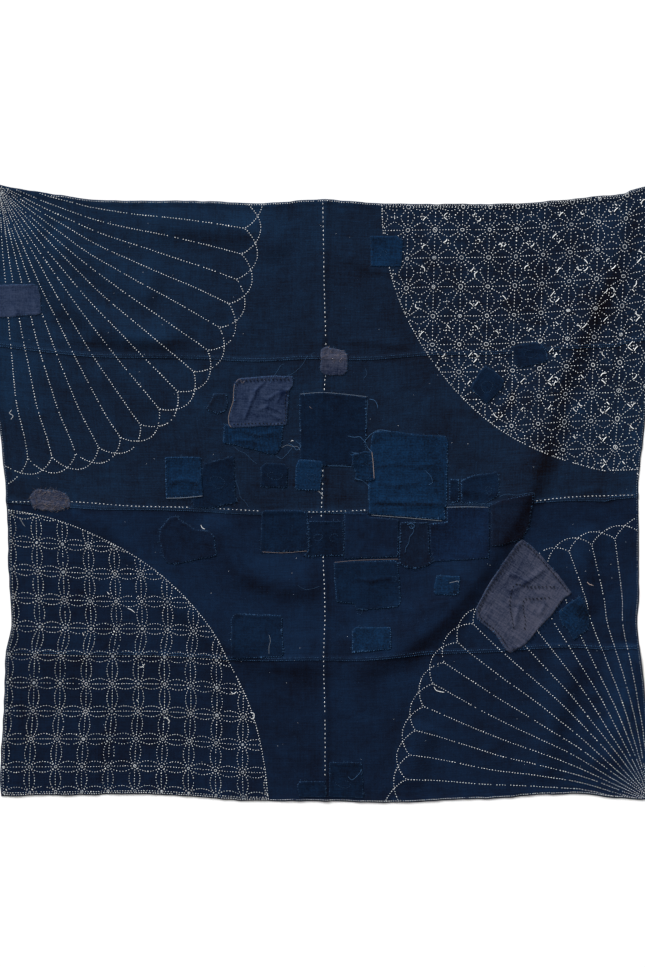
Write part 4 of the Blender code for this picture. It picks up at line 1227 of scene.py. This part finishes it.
def fan_rows(fan):
    """Rows of one fan: rays with skipped places, and overlapping petals beyond them."""
    rows = []
    wedge = 0.5 * math.pi / PETALS

    def at(angle, beyond=0.0):
        before, after = max(wedge - angle, 0.0), max(angle - (PETALS - 1) * wedge, 0.0)
        angle += fan.wider[1] * after - fan.wider[0] * before
        angle -= RAY_LAG * math.sin(2.0 * angle) + fan.lag * max(math.sin(4.0 * angle), 0.0)
        size = 1.0 + fan.swell * math.sin(2.0 * angle) ** 2
        return (fan.middle[0] + fan.turn * (fan.reach[0] * size + beyond) * math.cos(angle),
                fan.middle[1] + fan.turn * (fan.reach[1] * size + beyond) * math.sin(angle))

    for ray in range(1, PETALS):
        end = np.array(at(ray * wedge))
        first = mix(np.array(fan.first), np.array(fan.last), (ray - 1) / (PETALS - 2))
        share = RNG.uniform(0.014, 0.030) + 0.016 * (ray % 2)
        near = True
        side = np.array([-(end - first)[1], (end - first)[0]])
        while share < 1.0:
            until = min(share + (RNG.uniform(0.10, 0.20) if near else RNG.uniform(0.16, 0.55)), 1.0)
            until = 1.0 if until > 0.93 else until
            spots = np.linspace(share, until, 9)
            wave = 0.0012 * np.sin(spots * 9.0 + ray * 2.1) + 0.0008 * np.sin(spots * 23.0 + ray)
            bow = fan.bow[0] * math.sin(2.0 * ray * wedge) + fan.bow[1] * math.sin(4.0 * ray * wedge)
            bent = wave * (1.0 - spots ** 4) + bow * np.sin(math.pi * spots)
            path = first + (end - first) * spots[:, None] + side * bent[:, None]
            pitch, cover = (NEAR_PITCH, NEAR_SHARE) if near else (RNG.uniform(0.0057, 0.0066), RAY_SHARE)
            rows.append(Row(on_cloth(path), pitch, cover, 0.0, 0.0))
            share = until + (NEAR_SKIP if near else RAY_SKIP)
            near = False
    for petal in range(-1, PETALS):
        share = np.linspace(0.0, 1.0, 25)
        angles = (petal + 2.0 * share) * wedge
        wider = {-1: fan.wider[0], PETALS - 1: fan.wider[1]}
        bulge = fan.bulge * (1.0 + FLARE * wider.get(petal, 0.0))
        path = [at(angle, bulge * math.sin(math.pi * s) ** 0.8) for angle, s in zip(angles, share)]
        rows.append(Row(on_cloth(path), RNG.uniform(0.0056, 0.0062), RAY_SHARE, 0.0, 0.0))
    return rows


def in_cloth(u, v, margin=0.004):
    """Whether flat places are inside the hems."""
    return (u > margin) & (u < WIDTH - margin) & (v > margin) & (v < DEPTH - margin)


def kept(starts, ends, zone=None, missing=0.012):
    """The stitches in a zone that no patch hides, less a few that have worn away."""
    middle = (starts + ends) / 2.0
    u, v = flat_place(middle[:, 0], middle[:, 1])
    keep = ~is_covered(middle[:, 0], middle[:, 1]) & (zone or in_cloth)(u, v)
    keep &= RNG.uniform(size=len(starts)) > missing
    return starts[keep], ends[keep]


def ring_line(middle, half_x, half_y, tilt=0.0, turns=1.0, wobble=0.08):
    """A thread ring or part of one round a point on the laid cloth."""
    angle = np.linspace(0.0, 2.0 * math.pi * turns, 13) + tilt
    size = 1.0 + wobble * (np.sin(2.0 * angle + tilt) + 0.5 * np.sin(3.0 * angle))
    x, y = middle[0] + half_x * size * np.cos(angle), middle[1] + half_y * size * np.sin(angle)
    return np.stack([x, y], -1)


def node_rings(nodes, zone):
    """Thread rings on a pattern's nodes, larger in the hemp leaf, and a few short threads across them."""
    lines = []
    leaf = zone is in_leaf
    for node in nodes:
        place = np.array(laid(*(np.array([value]) for value in node)))[:, 0]
        if zone(*node, margin=0.004) and not is_covered(*(np.array([value]) for value in place))[0]:
            size = RNG.uniform(0.0036, 0.0046) if leaf else RNG.uniform(0.0022, 0.0036)
            bright = RNG.uniform(0.35, 0.80) if leaf else RNG.uniform(0.25, 0.65)
            line = ring_line(place, size, size * RNG.uniform(0.85, 1.1), RNG.uniform(0, 6))
            line[-1] = line[0]
            lines.append((line, 0.0011 if leaf else 0.0009, bright, 0.0004))
            if RNG.uniform() < CROSSED_SHARE:
                tilt = RNG.uniform(0, 6)
                half = 0.0032 * np.array([math.cos(tilt), math.sin(tilt)])
                lines.append((spaced([place - half, place + half], 0.002), 0.0014, bright, 0.0007))
    return lines


def carried_threads(pairs):
    """Loose threads carried over the face of the hemp leaf from one line to the next, a little bent."""
    lines = []
    for pair in pairs:
        path = on_cloth(pair)
        middle = path[len(path) // 2]
        spot = middle[:1], middle[1:]
        if in_leaf(*flat_place(*spot), margin=0.01)[0] and not is_covered(*spot)[0]:
            bend = RNG.normal(0, 0.0024) * np.sin(np.linspace(0, math.pi, len(path)))
            along = path[-1] - path[0]
            along /= max(np.hypot(*along), 1e-9)
            path = path + bend[:, None] * np.array([-along[1], along[0]])
            path = smoothed(path[::2] if len(path) > 4 else path)
            lines.append((path, RNG.uniform(0.0014, 0.0021), RNG.uniform(0.8, 1.0), 0.0009))
    return lines


def add_corners():
    """The four corner patterns and the rings on their nodes."""
    leaf_rows, leaf_nodes, carried = leaf_corner()
    pieces = [add_stitches("stitches_hemp_leaf", *kept(*sew(leaf_rows), zone=in_leaf))]
    lens_rows, lens_nodes = lens_corner()
    pieces.append(add_stitches("stitches_lattice", *kept(*sew(lens_rows), zone=in_lens)))
    for name, fan in FANS.items():
        starts, ends = kept(*sew(fan_rows(fan)), missing=0.03)
        away = np.hypot(*(starts - on_cloth([fan.first, fan.last])[0]).T)
        thinned = mix(NEAR_THREAD, 1.0, smooth_step(away, NEAR_START, NEAR_END))
        pieces.append(add_stitches(name, starts, ends, thinned=thinned))
    lines = node_rings(leaf_nodes, in_leaf) + node_rings(lens_nodes, in_lens) + carried_threads(carried)
    pieces.append(tube_piece("thread_rings", lines, "white"))
    return pieces


def arc_path(middle, sign, reach):
    """Quarter circle in flat coordinates round a corner of the cloth."""
    angle = np.linspace(0.005, 0.5 * math.pi - 0.005, 90)
    across, down = np.cos(angle) ** (2.0 / ROUNDNESS), np.sin(angle) ** (2.0 / ROUNDNESS)
    return np.stack([middle[0] + sign[0] * reach[0] * across, middle[1] + sign[1] * reach[1] * down], -1)


# The hems' rows: distance in from the edge, and where the white row of the upper hem begins
HEM_INSET = 0.0036
TOP_HEM_GAP = 0.13


def add_lines():
    """Rims of the two round corners, the lines through the middle, and the hems' and seams' stitches."""
    rims = [
        Row(on_cloth(arc_path((WIDTH, 0.0), (-1, 1), LEAF_REACH)), 0.0060, 0.42, 0.0, 0.0),
        Row(on_cloth(arc_path((0.0, DEPTH), (1, -1), LENS_REACH)), 0.0058, 0.40, 0.0, 0.0),
    ]
    pieces = [add_stitches("stitches_rims", *kept(*sew(rims)))]
    middle = [Row(smoothed(np.array(CENTRE_DOWN) * MM), 0.0100, 0.46, 0.0, 0.0)]
    middle += [Row(smoothed(np.array(line) * MM), 0.0088, 0.40, 0.0, 0.0) for line in CENTRE_ACROSS]
    pieces.append(add_stitches("stitches_centre", *kept(*sew(middle))))
    near, right, low = HEM_INSET, WIDTH - HEM_INSET, DEPTH - HEM_INSET
    corners = np.array([(near, near), (right, near), (right, low), (near, low)])
    hems = [
        Row(on_cloth([corners[k], corners[(k + 1) % 4]]), 0.0052, 0.44, TOP_HEM_GAP if k == 0 else 0.002, 0.002)
        for k in range(4)]
    for name, sides in (("stitches_hems_white", (0, 2)), ("stitches_hems_sides", (1, 3))):
        sewing = kept(*sew([hems[side] for side in sides]), zone=lambda u, v: in_cloth(u, v, 0.001))
        pieces.append(add_stitches(name, *sewing))
    seams = []
    for seam in SEAMS[1:-1]:
        for place in (seam + 0.0012, seam + LAP - 0.0014):
            seams.append(Row(on_cloth([(0.006, place), (WIDTH - 0.006, place)]), 0.0044, 0.55, 0.0, 0.0))
    pieces.append(add_stitches("stitches_seams", *kept(*sew(seams))))
    dark = [Row(smoothed(np.array(line) * MM), 0.0082, 0.56, 0.0, 0.0) for line in DARK_ROWS]
    pieces.append(add_stitches("stitches_dark", *sew(dark), lift=2 * LAYER_STEP + 0.0002))
    return pieces


def add_patch_sewing(patches):
    """Edge stitches of every patch, frays round them, and fuzz on the two woolly ones."""
    pieces, groups, whipped = [], {1: [], 2: []}, {1: [], 2: []}
    frays, fuzz = [], []
    for piece, rim, outwards, patch in patches:
        inner = rim - 0.0015 * outwards
        inner = np.concatenate([inner, inner[:1]])
        groups[patch.layer].append(Row(inner, RNG.uniform(0.0050, 0.0068), 0.52, 0.0, 0.0))
        spots = RNG.integers(0, len(rim), len(rim) // 4)
        reach = RNG.uniform(0.0018, 0.0045, (len(spots), 1))
        slant = RNG.normal(0.0, 0.0012, (len(spots), 2))
        over = rim[spots] + 0.0006 * outwards[spots]
        whipped[patch.layer].append((over, rim[spots] - reach * outwards[spots] + slant))
        count = int(len(rim) * (0.10 + 0.22 * (patch.ragged > 1.3)))
        for spot in RNG.integers(0, len(rim), count):
            tilt = RNG.normal(0, 0.7)
            cos, sin = math.cos(tilt), math.sin(tilt)
            out = outwards[spot]
            away = np.array([out[0] * cos - out[1] * sin, out[0] * sin + out[1] * cos])
            reach = RNG.uniform(0.002, 0.006)
            start = rim[spot] - 0.001 * out
            bend = start + away * reach * 0.6 + RNG.normal(0, 0.0008, 2)
            end = start + away * reach + RNG.normal(0, 0.0015, 2)
            frays.append((smoothed([start, bend, end]), 0.0004, RNG.uniform(0.1, 0.7), 0.0004))
        if patch.name in ("patch_white_top", "patch_grey_fuzzy"):
            woolly = patch.name == "patch_grey_fuzzy"
            low, high = rim.min(0), rim.max(0)
            for hair in range(260 if woolly else 80):
                spot = RNG.uniform(low, high)
                if inside_depth(spot[:1], spot[1:], rim)[0] > 0.0005:
                    angle = RNG.normal(0.15, 0.8)
                    way = np.array([math.cos(angle), math.sin(angle)]) * RNG.choice([-1, 1])
                    reach = RNG.uniform(0.004, 0.011)
                    middle = spot + way * reach * 0.5 + RNG.normal(0, 0.001, 2)
                    tone = RNG.uniform(0.02, 0.28) if woolly else RNG.uniform(0.02, 0.36) * (spot[1] > 0.286)
                    if tone > 0:
                        fuzz.append((np.array([spot, middle, spot + way * reach]), 0.0005, tone, 0.0007))
    for layer, rows in groups.items():
        starts, ends = (
            np.concatenate([sewn_part, *whips]) for sewn_part, whips in zip(sew(rows), zip(*whipped[layer])))
        pieces.append(add_stitches(f"stitches_patches_{layer}", starts, ends, layer * LAYER_STEP))
    pieces.append(tube_piece("frays", frays, "blue", 3))
    pieces.append(tube_piece("fuzz", fuzz, "pink", 3))
    return pieces


def add_threads():
    """Loose threads, laid threads and sewn loops, by colour, and lint on the cloth."""
    pieces = []
    lines = {"white": [], "blue": [], "pink": []}
    for thread in THREADS:
        points = np.array(thread.line, float) * MM
        size = thread.thick * MM * (0.62 if thread.colour == "pink" else 0.85)
        lines[thread.colour].append((smoothed(points), size, thread.tone, 0.3 * size))
    starts, ends, bright = [], [], []
    for x, y, half_x, half_y, tone in LOOPS:
        tilt, turns = RNG.uniform(0, 6), RNG.uniform(0.5, 1.1)
        line = ring_line((x * MM, y * MM), half_x * MM, half_y * MM, tilt, turns, 0.18)
        sewing = sew([Row(smoothed(line), RNG.uniform(0.0034, 0.0046), 0.66, 0.0, 0.0)])
        starts.append(sewing[0])
        ends.append(sewing[1])
        bright += [0.48 * tone] * len(sewing[0])
    starts, ends = np.concatenate(starts), np.concatenate(ends)
    height = cover_height(starts[:, 0], starts[:, 1], (1, 2)) + 0.0002
    pieces.append(stitch_piece("stitches_loops", starts, ends, 0.00036, np.array(bright), "blue", height))
    for colour, found in lines.items():
        pieces.append(tube_piece("threads_" + colour, found, colour))
    spots = RNG.uniform((-0.68, -0.63), (0.68, 0.60), (150, 2))
    spots = spots[~is_covered(spots[:, 0], spots[:, 1])]
    angle = RNG.uniform(0, 2 * math.pi, len(spots))
    length = RNG.uniform(0.0012, 0.0028, len(spots))[:, None]
    half = 0.5 * length * np.stack([np.cos(angle), np.sin(angle)], -1)
    tones = RNG.uniform(0.05, 0.5, len(spots))
    pieces.append(stitch_piece("lint", spots - half, spots + half, 0.00045, tones, "white"))
    return pieces


def build():
    """Makes every piece and returns the floor."""
    panels = [add_panel(index) for index in range(len(PANELS))]
    patches = [add_patch(index) for index in range(len(PATCHES))]
    corners = add_corners()
    lines = add_lines()
    add_patch_sewing(patches)
    add_threads()
    floor = add_floor()
    return floor


# The floor, its size in metres and its place just under the cloth
FLOOR_SIZE = 16.0
FLOOR_LEVEL = -0.0004


def add_floor():
    """Plain pale floor."""
    half = FLOOR_SIZE / 2.0
    mesh = bpy.data.meshes.new("floor")
    mesh.from_pydata(
        [(x, y, FLOOR_LEVEL) for x, y in ((-half, -half), (half, -half), (half, half), (-half, half))],
        [], [(0, 1, 2, 3)])
    floor = bpy.data.objects.new("floor", mesh)
    bpy.context.scene.collection.objects.link(floor)
    material, tree, shader = new_material("floor_pale", 0.95, 0.05)
    shader.inputs["Base Color"].default_value = (0.90, 0.90, 0.90, 1.0)
    mesh.materials.append(material)
    return floor


# Light: the sky's strength, the sun's, its softness in degrees, and the way to it
SKY_STRENGTH = 0.42
SUN_STRENGTH = 5.9
SUN_SOFTNESS = 20.0
SUN_FROM = (-0.42, 0.79, 0.40)


def add_light():
    """Soft studio light from the upper left, and even light from all round."""
    world = bpy.data.worlds.new("studio")
    world.use_nodes = True
    background = world.node_tree.nodes["Background"]
    background.inputs["Color"].default_value = (1.0, 1.0, 1.0, 1.0)
    background.inputs["Strength"].default_value = SKY_STRENGTH
    bpy.context.scene.world = world
    sun = bpy.data.lights.new("key", "SUN")
    sun.energy = SUN_STRENGTH
    sun.angle = math.radians(SUN_SOFTNESS)
    key = bpy.data.objects.new("key", sun)
    key.rotation_mode = "QUATERNION"
    key.rotation_quaternion = Vector(SUN_FROM).to_track_quat("Z", "Y")
    bpy.context.scene.collection.objects.link(key)


def add_camera():
    """Camera straight above the cloth, its upper side towards the photograph's top."""
    camera = bpy.data.cameras.new("camera")
    camera.lens = 100.0
    camera.sensor_width = 36.0
    camera.clip_start, camera.clip_end = 0.1, 100.0
    stand = bpy.data.objects.new("camera", camera)
    stand.location = (-0.0055, 0.0194, 5.909)
    bpy.context.scene.collection.objects.link(stand)
    bpy.context.scene.camera = stand


add_camera()
add_light()
build()
bpy.context.scene.view_settings.view_transform = "Standard"
bpy.context.scene.view_settings.look = "None"
